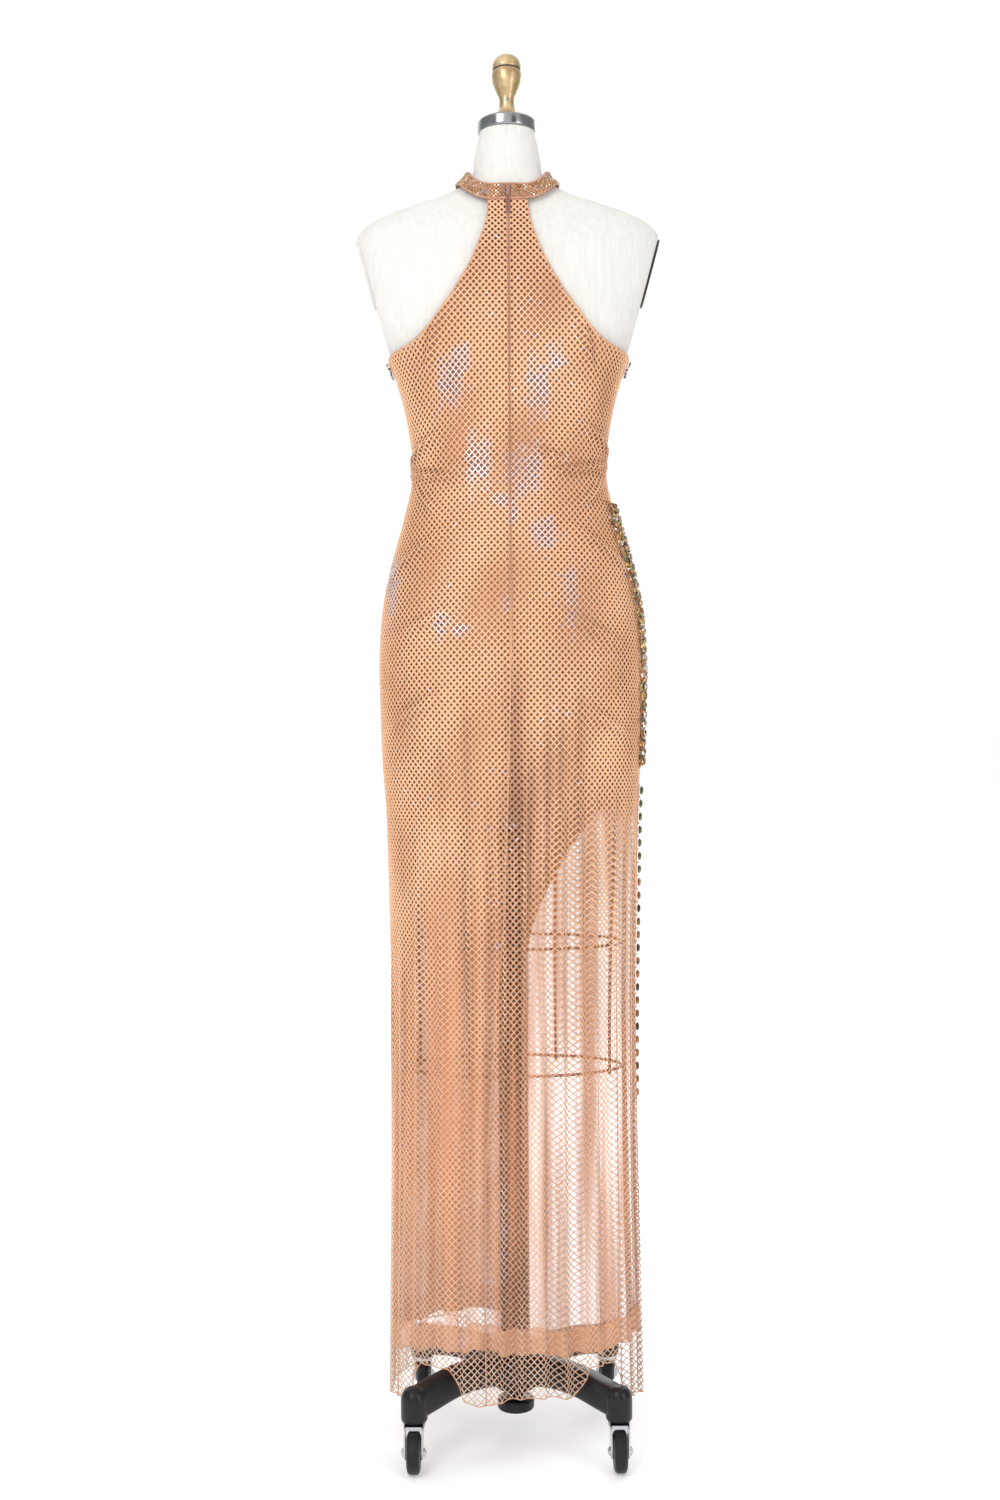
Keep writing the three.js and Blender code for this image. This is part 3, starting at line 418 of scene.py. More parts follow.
def lathe(profile, sides=64, centre=(0, 0), capped=True):
    """A profile of (radius, height) turned about the vertical through the centre."""
    turn = circle(sides)
    rows = []
    for radius, height in profile:
        ring = np.stack([radius * np.cos(turn), radius * np.sin(turn), np.full(sides, height)], 1)
        rows.append(ring + [centre[0], centre[1], 0])
    ends = [capped and radius > 0 for radius in (profile[0][0], profile[-1][0])]
    return np.concatenate(rows), barrel_faces(len(profile), sides, ends=ends)


def rounded(profile, radius, steps=4):
    """A profile with each inner corner turned into an arc."""
    smooth = [profile[0]]
    for before, corner, after in zip(profile, profile[1:], profile[2:]):
        before, corner, after = (np.array(p, float) for p in (before, corner, after))
        back, on = before - corner, after - corner
        cut = min(radius, 0.45 * np.linalg.norm(back), 0.45 * np.linalg.norm(on))
        start = corner + back / np.linalg.norm(back) * cut
        end = corner + on / np.linalg.norm(on) * cut
        for s in np.linspace(0, 1, steps):
            smooth.append(tuple((1 - s) ** 2 * start + 2 * s * (1 - s) * corner + s * s * end))
    smooth.append(profile[-1])
    return smooth


def tube(path, radius, sides=10, closed=False, flat=1.0, normal=None):
    """A round rod along a path of points; flat squeezes it along the normal."""
    path = np.asarray(path, float)
    count = len(path)
    if closed:
        along = np.roll(path, -1, 0) - np.roll(path, 1, 0)
    else:
        along = np.gradient(path, axis=0)
    along /= np.linalg.norm(along, axis=1)[:, None]
    if normal is None:
        up = np.tile([0.0, 0.0, 1.0], (count, 1))
        up[np.abs(along[:, 2]) > 0.95] = [0.0, 1.0, 0.0]
    else:
        up = np.asarray(normal, float)
    side = np.cross(along, up)
    side /= np.linalg.norm(side, axis=1)[:, None]
    up = np.cross(side, along)
    turn = circle(sides)[:, None]
    ring = side[:, None] * np.cos(turn) + up[:, None] * np.sin(turn) * flat
    points = path[:, None] + ring * radius
    faces = barrel_faces(count, sides, True, (not closed, not closed))
    if closed:
        last = (count - 1) * sides
        faces += [(last + k, k, (k + 1) % sides, last + (k + 1) % sides) for k in range(sides)]
    return points.reshape(-1, 3), faces


# ---------------------------------------------------------------- the dress's outer surface
SECTIONS = [
    # z, half width, depth to the front, depth to the back, how square
    (0, 160, 112, 110, 2.2),
    (58, 159, 110, 109, 2.2),
    (150, 158, 108, 107, 2.2),
    (350, 156, 106, 105, 2.2),
    (550, 157, 107, 107, 2.2),
    (650, 159, 107, 109, 2.2),
    (740, 161, 106, 112, 2.25),
    (808, 163, 106, 115, 2.3),
    (870, 167, 107, 119, 2.3),
    (930, 169, 108, 123, 2.3),
    (1000, 170, 108, 124, 2.3),
    (1060, 166, 107, 117, 2.25),
    (1120, 154.5, 103, 104, 2.2),
    (1180, 138, 96, 91, 2.15),
    (1240, 125.5, 90, 82, 2.1),
    (1300, 131, 95, 84, 2.15),
    (1350, 142.5, 104, 91, 2.2),
    (1387, 156, 108, 97, 2.3),
    (1425, 181, 108, 101, 2.3),
    (1468, 199, 101, 102, 2.3),
    (1510, 208, 88, 96, 2.3),
    (1540, 206, 76, 85, 2.3),
    (1554, 198, 69, 77, 2.3),
    (1565, 184, 64, 70, 2.3),
    (1575, 163, 60, 65, 2.25),
    (1585, 134, 57, 61, 2.2),
    (1595, 102, 55, 58, 2.1),
    (1611, 69, 53, 55, 2.05),
    (1627, 54, 53, 50, 2),
    (1650, 50.5, 54, 45, 2),
    (1685, 43, 49, 37, 2),
]
BUST = {"x": 76, "z": 1372, "spread": 46, "height": 17}
FORM_BOTTOM = 808
FORM_OFFSET = -7.8
NECK_TOP = 1684.7
UNDERARM = 1387
SLIT_TOP = 846
ARMHOLES = [
    # z, x of the back's edge, x of the front's
    (UNDERARM, 157, 157),
    (1390, 138, 141),
    (1397, 120.6, 126),
    (1407, 107, 114),
    (1417, 96.4, 104),
    (1440, 78.1, 86),
    (1464, 62, 70),
    (1488, 47.7, 56),
    (1514, 36.8, 45),
    (1533, 30.5, 39),
    (1545, 27.5, 36),
    (1557, 25.5, 34),
    (1590, 24, 32),
]
CENTRE_BACK = [
    # z, x
    (0, -38),
    (330, -36),
    (420, -32),
    (560, -22),
    (690, -10),
    (900, -3),
    (1050, 0),
    (1700, 0),
]
SLIT_EDGE = [
    # z, x
    (0, -6),
    (131, -4),
    (405, 1),
    (542, 9),
    (651, 30),
    (730, 68),
    (790, 108),
    (SLIT_TOP, 158),
]
FOLDS = [
    # angle at the form's bottom and at the hem, half width, height, top z
    (198, 196, 7, 5, 700),
    (216, 212, 8, 8, 620),
    (231, 229, 7, 7, 560),
    (246, 241, 7, 9, 640),
    (260, 254, 6, 6, 700),
    (277, 277, 5, 8, 900),
    (287, 290, 5, 7, 900),
    (297, 303, 6, 10, 840),
    (309, 315, 6, 8, 900),
    (322, 328, 6, 8, 860),
    (337, 342, 7, 6, 800),
    (40, 38, 8, 5, 500),
    (78, 86, 6, 8, 760),
    (96, 100, 6, 9, 760),
    (112, 116, 7, 8, 700),
    (130, 132, 7, 7, 720),
    (148, 148, 8, 7, 640),
    (165, 164, 7, 5, 600),
]
# Narrow pleats, which the solids leave out. Each deepens downwards over this length.
PLEAT_LENGTH = 260
PLEATS = [
    # angle at the form's bottom and at the hem, half width, height, top z
    (192, 192, 2.8, 4, 700),
    (208, 206, 3, 4, 690),
    (224, 221, 3, 5, 780),
    (238, 236, 3, 5, 740),
    (253, 249, 2.6, 6, 800),
    (262, 258, 2.2, -5, 880),
    (268, 265, 2.0, 8, 900),
    (274, 271, 2.0, 9, 900),
    (281, 280, 2.2, 6, 880),
    (289, 288, 2.4, 7, 900),
    (297, 298, 2.4, 7, 900),
    (305, 307, 2.4, 8, 880),
    (318, 320, 2.6, 8, 880),
    (328, 329, 2.4, 6, 860),
    (340, 342, 2.6, 6, 860),
    (88, 93, 3, 4, 760),
    (104, 108, 3, 4, 760),
    (121, 124, 3, 4, 740),
    (139, 140, 3, 4, 700),
    (157, 157, 3, 4, 640),
]
# Creases drawn across the waist and hips, which the solids leave out too.
CREASES = [
    # angle, z, half length as an angle, rise along it, half width, height
    (198, 1262, 34, 22, 6, 5.1),
    (210, 1232, 42, -12, 6, 5.4),
    (214, 1200, 24, -26, 8, 3.7),
    (250, 1246, 16, 8, 5, 2.7),
    (292, 1252, 18, -9, 5, 3.1),
    (326, 1240, 44, 14, 6, 5.1),
    (340, 1275, 32, -20, 6, 4.4),
    (322, 1205, 24, 24, 8, 3.7),
    (214, 1125, 24, 30, 8, 3.7),
    (318, 1138, 26, -32, 8, 3.7),
    (232, 1040, 22, 22, 9, 3.4),
    (304, 1030, 22, -26, 9, 3.4),
    (226, 930, 24, 26, 10, 3.4),
    (312, 915, 24, -24, 10, 3.7),
    (236, 1395, 12, 40, 7, 3.4),
    (304, 1395, 12, -40, 7, 3.4),
    (60, 1240, 30, 10, 8, 4.1),
    (118, 1232, 30, -10, 8, 4.1),
]
NECK_OVAL = {"half": 65, "front": 68, "back": 64, "square": 3.3}
# The neck's seam lies between these heights.
NECK_SEARCH = (1500, 1640)
COLLAR = {"side": 16, "front": 23, "back": 21, "parting": 0.7}
HEM = {"side": 59, "back": 85, "front": 66, "corner": 72, "over_leg": 117, "steep": 1.9}
HEM_DROP = {"depth": 12, "width": 0.14}
HEM_ARCHES = [
    # how far an arch reaches round and how far it is shifted, for each leg
    (0.3, 0),
    (0.3, 0),
    (0.3, 0),
    (0.26, 0.03),
]
LINING = {"hem": 128, "outer": -3.6, "inner": -4.2}
HEM_BAND_SHAPE = {"height": 32, "outer": -2.8, "inner": -4.8}
CASTER = {"x": 126, "y": 113, "trail": 15, "radius": 25, "half": 8.5}
ZIP_BOTTOM = 1000


def look_up(table, z, column=1):
    """A smooth curve through a table's values."""
    rows = np.asarray(table, float)
    height, value = rows[:, 0], rows[:, column]
    last = len(rows) - 1
    low, high = np.maximum(np.arange(last + 1) - 1, 0), np.minimum(np.arange(last + 1) + 1, last)
    slope = (value[high] - value[low]) / (height[high] - height[low])
    i = np.clip(np.searchsorted(height, z) - 1, 0, last - 1)
    span = height[i + 1] - height[i]
    s = np.clip((z - height[i]) / span, 0, 1)
    rise = value[i + 1] - value[i]
    m0, m1 = slope[i] * span, slope[i + 1] * span
    return value[i] + s * (m0 + s * (3 * rise - 2 * m0 - m1 + s * (m0 + m1 - 2 * rise)))


def signed_power(value, power):
    return np.sign(value) * np.abs(value) ** power


def smooth_step(s):
    t = np.clip(s, 0, 1)
    return t * t * (3 - 2 * t)


def angle_between(a, b):
    turn = np.abs(a - b) % (2 * PI)
    return np.minimum(turn, 2 * PI - turn)


def drape(z, angle):
    """How far the folds, the pleats and the creases stand out."""
    height = np.zeros_like(z)
    share = np.minimum((FORM_BOTTOM - z) / FORM_BOTTOM, 1)
    rows = [(row, row[-1]) for row in FOLDS] + [(row, PLEAT_LENGTH) for row in PLEATS]
    for (top_angle, hem_angle, half_width, hem_height, top_z), length in rows:
        down = np.maximum((top_z - z) / length, 0)
        centre = np.radians(top_angle + (hem_angle - top_angle) * share)
        away = angle_between(angle, centre) / math.radians(half_width)
        height += hem_height * smooth_step(down * 1.4) * np.exp(-1.6 * away * away)
    for centre, level, reach, rise, half, depth in CREASES:
        along = (angle - math.radians(centre)) / math.radians(reach)
        across = (z - level - rise * along) / half
        height += depth * np.exp(-1.5 * along * along - across * across)
    return height


def section(z):
    """The half width, the depths to the front and the back, and how square the section is."""
    return [look_up(SECTIONS, z, column) for column in (1, 2, 3, 4)]


def surface(z, angle, outward=0.0, folded=True):
    """Points of the dress's outer surface, moved outwards."""
    z, angle = (np.array(v, float) for v in np.broadcast_arrays(z, angle))
    half, front, back, square = section(z)
    sine = np.sin(angle)
    x = (half + outward) * signed_power(np.cos(angle), 2 / square)
    y = (np.where(sine > 0, front, back) + outward) * signed_power(sine, 2 / square)
    up = (z - BUST["z"]) / BUST["spread"]
    for side in (-1, 1):
        across = (x - side * BUST["x"]) / BUST["spread"]
        swell = BUST["height"] * np.exp(-up * up - across * across)
        y = y + swell * np.clip(sine * 2, 0, 1)
    if folded:
        fold = 1 + drape(z, angle) / np.hypot(x, y)
        x, y = x * fold, y * fold
    return np.stack([x, y, z], -1)


def bare(z, angle):
    """Points of the surface without its folds."""
    return surface(z, angle, 0, False)


def normals(z, angle, folded=True):
    """Unit vectors square to the surface."""
    step_z, step_angle = 0.5, 0.002
    along = surface(z + step_z, angle, 0, folded) - surface(z - step_z, angle, 0, folded)
    across = surface(z, angle + step_angle, 0, folded) - surface(z, angle - step_angle, 0, folded)
    out = np.cross(across, along)
    return out / np.linalg.norm(out, axis=-1, keepdims=True)


def angle_at(z, x, front):
    """The angle at which the surface without its folds reaches an x."""
    half, square = look_up(SECTIONS, z, 1), look_up(SECTIONS, z, 4)
    cosine = np.sign(x) * np.minimum(np.abs(x) / half, 1) ** (square / 2)
    return np.arccos(cosine) if front else 2 * PI - np.arccos(cosine)


def outside_oval(points):
    """Whether points lie outside the neck's opening, seen from above."""
    depth = np.where(points[..., 1] > 0, NECK_OVAL["front"], NECK_OVAL["back"])
    square = NECK_OVAL["square"]
    across = np.abs(points[..., 0] / NECK_OVAL["half"]) ** square
    return across + np.abs(points[..., 1] / depth) ** square > 1


def halve(low, high, holds, shape=(), steps=30):
    """The highest values for which something holds, found by halving."""
    low, high = np.full(shape, float(low)), np.full(shape, float(high))
    for _ in range(steps):
        middle = (low + high) / 2
        good = holds(middle)
        low, high = np.where(good, middle, low), np.where(good, high, middle)
    return low


def collar_seam(angle):
    return halve(*NECK_SEARCH, lambda z: outside_oval(bare(z, angle)), np.shape(angle))


def round_height(table, angle):
    """A height that runs smoothly from side to front and to back."""
    sine = np.sin(angle)
    lean = (table["front"] - table["back"]) / 2
    dip = (table["front"] + table["back"]) / 2 - table["side"]
    return table["side"] + lean * sine + dip * sine * sine


LEG_ANGLE = math.atan2(CASTER["y"], CASTER["x"])
LEG_ANGLES = [LEG_ANGLE, PI - LEG_ANGLE, PI + LEG_ANGLE, 2 * PI - LEG_ANGLE]


def leg_crossings():
    """The angles at which the legs pass under the cloth."""
    angle = np.linspace(0, 2 * PI, 4000)
    points = bare(HEM["over_leg"], angle)
    seen = np.arctan2(points[:, 1], points[:, 0])
    return [angle[np.argmin(angle_between(seen, leg))] for leg in LEG_ANGLES]


LEG_CROSSINGS = leg_crossings()


def net_hem(angle):
    """The net's lower edge: it drops to a corner at the centre back and arches over the legs."""
    seam = centre_back(np.array(float(HEM["corner"])))
    from_seam = angle_between(angle, seam) / HEM_DROP["width"]
    plain = round_height(HEM, angle) - HEM_DROP["depth"] * np.exp(-from_seam * from_seam)
    height = plain
    for crossing, (reach, shift) in zip(LEG_CROSSINGS, HEM_ARCHES):
        away = angle_between(angle, crossing + shift) / reach
        arch = smooth_step(HEM["steep"] - HEM["steep"] * away)
        height = np.maximum(height, plain + (HEM["over_leg"] - plain) * arch)
    return height


def lining_hem(angle):
    """A hem that sways round the skirt and ripples."""
    sway = 10 * np.cos(angle - math.radians(300)) + 5 * np.cos(3 * angle)
    return LINING["hem"] + sway + 2.5 * np.sin(17 * angle + 1) + 1.3 * np.sin(43 * angle)


# ---------------------------------------------------------------- panels
SEAM_ANGLE = 0.0016
LAST_LEVEL = 1345
FRONT, BACK_LEFT, BACK_RIGHT = "front", "back_left", "back_right"


def armhole(z, front):
    return look_up(ARMHOLES, z, 2 if front else 1)


def top_curve(front):
    """The armhole's edge and the collar's seam, as heights and angles from the side seam by length."""
    sign = 1 if front else -1

    def edge_angle(z):
        angle = angle_at(z, armhole(z, front), front)
        return angle if front else 2 * PI - angle

    corner = halve(UNDERARM, NECK_SEARCH[1], lambda z: outside_oval(bare(z, sign * edge_angle(z))))
    z = UNDERARM + (corner - UNDERARM) * np.linspace(0, 1, 80) ** 2
    away = np.maximum(edge_angle(z), SEAM_ANGLE)
    neck = np.linspace(away[-1], PI / 2, 16)[1:]
    z = np.concatenate([z, collar_seam(sign * neck)])
    away = np.concatenate([away, neck])
    steps = np.linalg.norm(np.diff(bare(z, sign * away), axis=0), axis=1)
    length = np.concatenate([[0], np.cumsum(steps)])
    return length / length[-1], z, away


TOPS = {front: top_curve(front) for front in (False, True)}


def centre_back(z):
    return angle_at(z, look_up(CENTRE_BACK, z), False)


def seam_gap(z):
    """Half the gap between the two backs, as an angle."""
    return 0.2 / look_up(SECTIONS, z)


SLIT_Z = np.linspace(0, SLIT_TOP, 500)
SLIT_ANGLE = angle_at(SLIT_Z, look_up(SLIT_EDGE, SLIT_Z), True)
SLIT_LOW_ANGLE = float(np.interp(HEM["front"], SLIT_Z, SLIT_ANGLE))


def panel_grid(panel, hem, rows, columns):
    """Heights and angles of a panel's grid, from its bottom to its top."""
    share = np.linspace(0, 1, columns)
    if panel == FRONT:
        slit = SLIT_LOW_ANGLE / PI
        near = slit * (1 - np.abs(1 - 2 * np.minimum(share, 0.5)) ** 1.4)
        share = np.where(share < 0.5, near, slit + (1 - slit) * (2 * share - 1))
    ends = {
        FRONT: lambda z: (SEAM_ANGLE, PI - SEAM_ANGLE),
        BACK_LEFT: lambda z: (PI + SEAM_ANGLE, centre_back(z) - seam_gap(z)),
        BACK_RIGHT: lambda z: (centre_back(z) + seam_gap(z), 2 * PI - SEAM_ANGLE),
    }[panel]

    def angle_in(z):
        start, end = ends(z)
        return start + (end - start) * share

    foot = angle_in(np.full(columns, float(HEM["corner"])))
    bottom = hem(foot)
    if panel == FRONT:
        on_slit = np.interp(foot, SLIT_ANGLE[::-1], SLIT_Z[::-1])
        bottom = np.where(foot < SLIT_LOW_ANGLE, np.maximum(on_slit, bottom), bottom)
    along, top_z, top_away = TOPS[panel == FRONT]
    index = np.linspace(0, 1, columns)
    where = {FRONT: 1 - np.abs(1 - 2 * index), BACK_LEFT: index, BACK_RIGHT: 1 - index}[panel]
    end_z, away = np.interp(where, along, top_z), np.interp(where, along, top_away)
    end_angle = {
        FRONT: np.where(index < 0.5, away, PI - away),
        BACK_LEFT: PI + away - seam_gap(end_z) * where,
        BACK_RIGHT: 2 * PI - away + seam_gap(end_z) * where,
    }[panel]
    upper_rows = rows // 6
    lower_rows = rows - upper_rows
    z, angle = [], []
    for s in np.linspace(0, 1, lower_rows):
        row = bottom + (LAST_LEVEL - bottom) * s
        z.append(row)
        angle.append(angle_in(row))
    level = angle[-1]
    level_x = bare(float(LAST_LEVEL), level)[:, 0]
    end_x = bare(end_z, end_angle)[:, 0]
    on_seam = np.abs(np.cos(level)) > 0.9999
    for s in np.linspace(0, 1, upper_rows + 1)[1:]:
        row = LAST_LEVEL + (end_z - LAST_LEVEL) * s
        across = angle_at(row, level_x + (end_x - level_x) * s, panel == FRONT)
        z.append(row)
        angle.append(np.where(on_seam, level, across))
    return np.array(z), np.array(angle)


# ---------------------------------------------------------------- the fishnet
NET = {"columns": 116, "spare": 16, "rows": (10, 382), "pitch": 4.3, "rise": 1.1, "under": -1.1}
STRAND = {"on_body": 2.9, "at_hem": 1.25, "narrows_at": 860, "narrows_over": 420, "least": 0.15}
HALF_SEAM = 0.3
HIPS = 900.0


def lattice_row(z, centre):
    """The lattice's angles at a height: steps of even length out from the middle, above the hips."""
    angle = np.linspace(0, 2 * PI, 1201)
    lengths = []
    for height in (HIPS, max(z, HIPS)):
        steps = np.linalg.norm(np.diff(bare(height, angle), axis=0), axis=1)
        lengths.append(np.concatenate([[0], np.cumsum(steps)]))
    reach = NET["columns"] // 2 + NET["spare"]
    step = lengths[0][-1] / (2 * NET["columns"])
    wanted = np.interp(centre, angle, lengths[1]) + np.arange(-reach, reach + 1) * step
    return np.interp(wanted, lengths[1], angle)


def lattice(centre):
    rows = np.arange(*NET["rows"]) * NET["pitch"]
    low = lattice_row(HIPS, centre)
    return rows, np.array([low if z < HIPS else lattice_row(z, centre) for z in rows])


LATTICES = {True: lattice(PI / 2), False: lattice(1.5 * PI)}


def strand_width(z, angle):
    """Broad strands on the body and finer ones towards the hem, with places where the holes close."""
    fine = smooth_step((STRAND["narrows_at"] - z) / STRAND["narrows_over"])
    drift = np.sin(z * 0.019 + 2.6 * np.sin(2 * angle)) * np.sin(5.3 * angle + z * 0.011)
    drift += 0.5 * np.sin(z * 0.043 - 9 * angle)
    body, hem = STRAND["on_body"] + 0.7 * drift, STRAND["at_hem"] + 0.2 * drift
    return body * (1 - fine) + hem * fine


def inside_panel(panel, z, angle):
    """Whether a place is on a panel, inside all of its edges."""
    points = bare(z, angle)
    x = points[..., 0]
    inside = (z < UNDERARM) | (np.abs(x) < armhole(z, panel == FRONT))
    inside &= (z > net_hem(angle)) & outside_oval(points)
    if panel == FRONT:
        return inside & (angle > 0) & (angle < PI) & ((z > SLIT_TOP) | (x < look_up(SLIT_EDGE, z)))
    middle = look_up(CENTRE_BACK, z)
    if panel == BACK_LEFT:
        return inside & (angle > PI) & (x < middle - HALF_SEAM)
    return inside & (angle < 2 * PI) & (x > middle + HALF_SEAM)


def strand_ends(panel):
    """The two ends of each strand: zigzags between a diamond lattice's nodes, cut at the edges.

    An end is a height and an angle. A cut strand with less than its least share is left out.
    """
    heights, angles = LATTICES[panel == FRONT]
    rows, columns = angles.shape
    j, n = np.meshgrid(np.arange(rows - 1), np.arange(columns), indexing="ij")
    keep = (j + n) % 2 == 0
    j, n = j[keep], n[keep]
    starts, ends = [], []
    for step in (-1, 1):
        fits = (n + step >= 0) & (n + step < columns)
        here, across = j[fits], n[fits]
        starts.append(np.stack([heights[here], angles[here, across]], 1))
        ends.append(np.stack([heights[here + 1], angles[here + 1, across + step]], 1))
    start, end = np.concatenate(starts), np.concatenate(ends)
    start_in, end_in = (inside_panel(panel, *place.T) for place in (start, end))
    some = start_in | end_in
    start, end, start_in, end_in = start[some], end[some], start_in[some], end_in[some]
    flip = ~start_in
    start[flip], end[flip] = end[flip].copy(), start[flip].copy()
    cut = ~(start_in & end_in)
    inner, step = start[cut], end[cut] - start[cut]
    share = halve(0, 1, lambda s: inside_panel(panel, *(inner + step * s[:, None]).T), cut.sum(), 9)
    end[cut] = inner + step * share[:, None]
    long_enough = np.ones(len(start), bool)
    long_enough[cut] = share > STRAND["least"]
    return start[long_enough], end[long_enough]


# Patches of foil, with a painted highlight on them.
FOIL_AND_PAINTED_HIGHLIGHT_PATCHES = [
    # x, z, half width, half height, on the back
    (-72, 1345, 16, 30),
    (-58, 1372, 9, 14),
    (36, 1335, 14, 34),
    (58, 1372, 8, 16),
    (-40, 1245, 16, 32),
    (18, 1232, 22, 30),
    (42, 1152, 16, 20),
    (4, 1180, 6, 16),
    (-12, 1195, 12, 8),
    (74, 1068, 9, 36),
    (-86, 1038, 10, 16),
    (-62, 1030, 12, 7),
    (-4, 1062, 5, 9),
    (-148, 1095, 8, 40),
    (-17, 640, 4, 5),
    (-14, 285, 4, 60),
    (-30, 200, 4, 40),
    (40, 250, 3, 90),
    (-66, 150, 14, 8),
]


def foil_and_painted_highlight_weight(points, glint):
    """How much foil and painted highlight a strand gets: in ragged patches, and as painted sparks, most of
    them by the yoke.
    """
    weight = np.zeros(len(points))
    x, y, z = points.T
    for middle, level, across, up in FOIL_AND_PAINTED_HIGHLIGHT_PATCHES:
        away = ((x - middle) / across) ** 2 + ((z - level) / up) ** 2
        ragged = 1 + 0.35 * np.sin(x * 0.31 + level) + 0.3 * np.sin(z * 0.23 - x * 0.12)
        weight = np.maximum(weight, np.where(y < 0, np.exp(-((away * ragged) ** 2)), 0))
    near = np.exp(-(((x - 50) / 50) ** 2) - ((z - 1400) / 70) ** 2)
    spark = glint > 0.996 - 0.03 * near
    return np.clip(weight * (0.2 + 1.2 * glint) + 0.9 * spark, 0, 1)


def add_attribute(piece, name, values):
    attribute = piece.data.attributes.new(name, "FLOAT", "POINT")
    attribute.data.foreach_set("value", np.asarray(values, np.float32))


# Gains for the painted shade where the cloth turns, above and below a level.
PAINTED_FOLD_SHADE_GAIN = {"above": 6.0, "below": 1.8, "level": 880}
# Painted shade at the skirt's gathers.
PAINTED_FOLD_SHADES = [
    # angle, reach, middle height, depth
    (4.73, 0.05, 850, 0.75),
    (4.82, 0.03, 800, 0.35),
    (4.93, 0.022, 840, 0.5),
    (5.03, 0.02, 845, 0.4),
    (5.18, 0.025, 840, 0.4),
    (4.42, 0.03, 850, 0.25),
    (4.2, 0.03, 840, 0.2),
    (3.5, 0.04, 420, 0.3),
]


def painted_fold_shade(place, out):
    """How much painted shade a place gets: more where the cloth turns steeply away from the smooth body, and
    at the listed gathers.
    """
    z, angle = place.T
    turn = 1 - np.clip(np.sum(normals(z, angle, False) * out, axis=1), 0, 1)
    shade = np.zeros(len(place))
    for centre, reach, level, depth in PAINTED_FOLD_SHADES:
        away = ((angle - centre) / reach) ** 2
        shade += depth * np.exp(-away - np.abs((z - level) / 125) ** 3)
    gain = np.where(z > PAINTED_FOLD_SHADE_GAIN["level"], PAINTED_FOLD_SHADE_GAIN["above"], PAINTED_FOLD_SHADE_GAIN["below"])
    return np.clip(turn * gain, 0, 0.5) + np.clip(shade * 1.3, 0, 0.85)


def make_net(panel, seed):
    """Strands with a three-sided section, and a rolled edge round the panel."""
    start, end = strand_ends(panel)
    outs = [normals(*place.T) for place in (start, end)]
    points = [surface(*place.T) + out * NET["under"] for place, out in zip((start, end), outs)]
    along = points[1] - points[0]
    along /= np.maximum(np.linalg.norm(along, axis=1, keepdims=True), 1e-6)
    rings = []
    for place, point, out in zip((start, end), points, outs):
        side = np.cross(out, along)
        half = strand_width(*place.T)[:, None] / 2
        side *= half / np.linalg.norm(side, axis=1, keepdims=True)
        rings += [point + side, point + out * NET["rise"], point - side]
    count = len(start)
    base = np.arange(count)[:, None, None] * 6
    quads = (base + np.array([[0, 1, 4, 3], [1, 2, 5, 4], [2, 0, 3, 5]])).reshape(-1, 4)
    parts = Parts().add(np.stack(rings, 1), quads.tolist())

    z, angle = panel_grid(panel, net_hem, rows=240, columns=80)
    edges = [(z[:, 0], angle[:, 0], 0.6), (z[:, -1], angle[:, -1], 0.6)]
    edges += [(z[0], angle[0], 0.7), (z[-1], angle[-1], 0.8)]
    for edge_z, edge_angle, radius in edges:
        out = normals(edge_z, edge_angle)
        path = surface(edge_z, edge_angle) - out * 0.7
        parts.add(*tube(path, radius, 6, flat=0.6, normal=out), 1)
    piece = make_piece(f"fishnet_{panel}", parts, [NET_CLOTH, PIPING], [f"net_{panel}"])

    # A draw for each corner of a strand. The whole strand takes its first corner's.
    glint = np.random.default_rng(seed).random((count, 6))[:, 0]
    # The foil weight also paints the highlight.
    foil_and_painted_highlight = foil_and_painted_highlight_weight((points[0] + points[1]) / 2, glint)
    # The fold attribute is painted shade.
    for name, weights in (("foil_and_painted_highlight", foil_and_painted_highlight), ("fold", painted_fold_shade(start, outs[0]))):
        values = np.zeros(parts.count)
        values[: count * 6] = np.repeat(weights, 6)
        add_attribute(piece, name, values)
    return piece


def make_lining(panel):
    """A thin sheet and, at its foot, the doubled band of its hem."""
    z, angle = panel_grid(panel, lining_hem, rows=150, columns=90)
    parts = Parts().add(*wall(*(surface(z, angle, LINING[side]) for side in ("outer", "inner"))))
    finish = [LININGS[panel == FRONT]]
    piece = make_piece(f"sheer_lining_{panel}", parts, finish, [f"lining_{panel}"])
    place = np.stack([z.ravel(), angle.ravel()], -1)
    # The lining's fold attribute is painted shade as well.
    add_attribute(piece, "fold", np.tile(painted_fold_shade(place, normals(z, angle).reshape(-1, 3)), 2))
    z = z[:1] + np.linspace(0, HEM_BAND_SHAPE["height"], 10)[:, None]
    angle = np.repeat(angle[:1], 10, 0)
    sides = (surface(z, angle, HEM_BAND_SHAPE[side]) for side in ("outer", "inner"))
    band = make_piece(f"lining_hem_band_{panel}", Parts().add(*wall(*sides)), [HEM_BAND])
    return piece, band


# ---------------------------------------------------------------- collar, zip and trims
def reach_point(z, direction, outward):
    """A point of the smooth body in a direction from the axis, moved outwards."""
    half, front, back, square = section(z)
    sine = np.sin(direction)
    depth = np.where(sine > 0, front, back) + outward
    across = np.abs(np.cos(direction) / (half + outward)) ** square
    reach = (across + np.abs(sine / depth) ** square) ** (-1 / square)
    return np.stack([reach * np.cos(direction), reach * sine, np.broadcast_to(z, reach.shape)], -1)


def collar_foot(direction):
    return halve(*NECK_SEARCH, lambda z: outside_oval(reach_point(z, direction, 0)), direction.shape)


COLLAR_FOOT_BACK = float(collar_foot(np.array([1.5 * PI]))[0])
ZIP_TOP = COLLAR_FOOT_BACK + COLLAR["back"] - 2


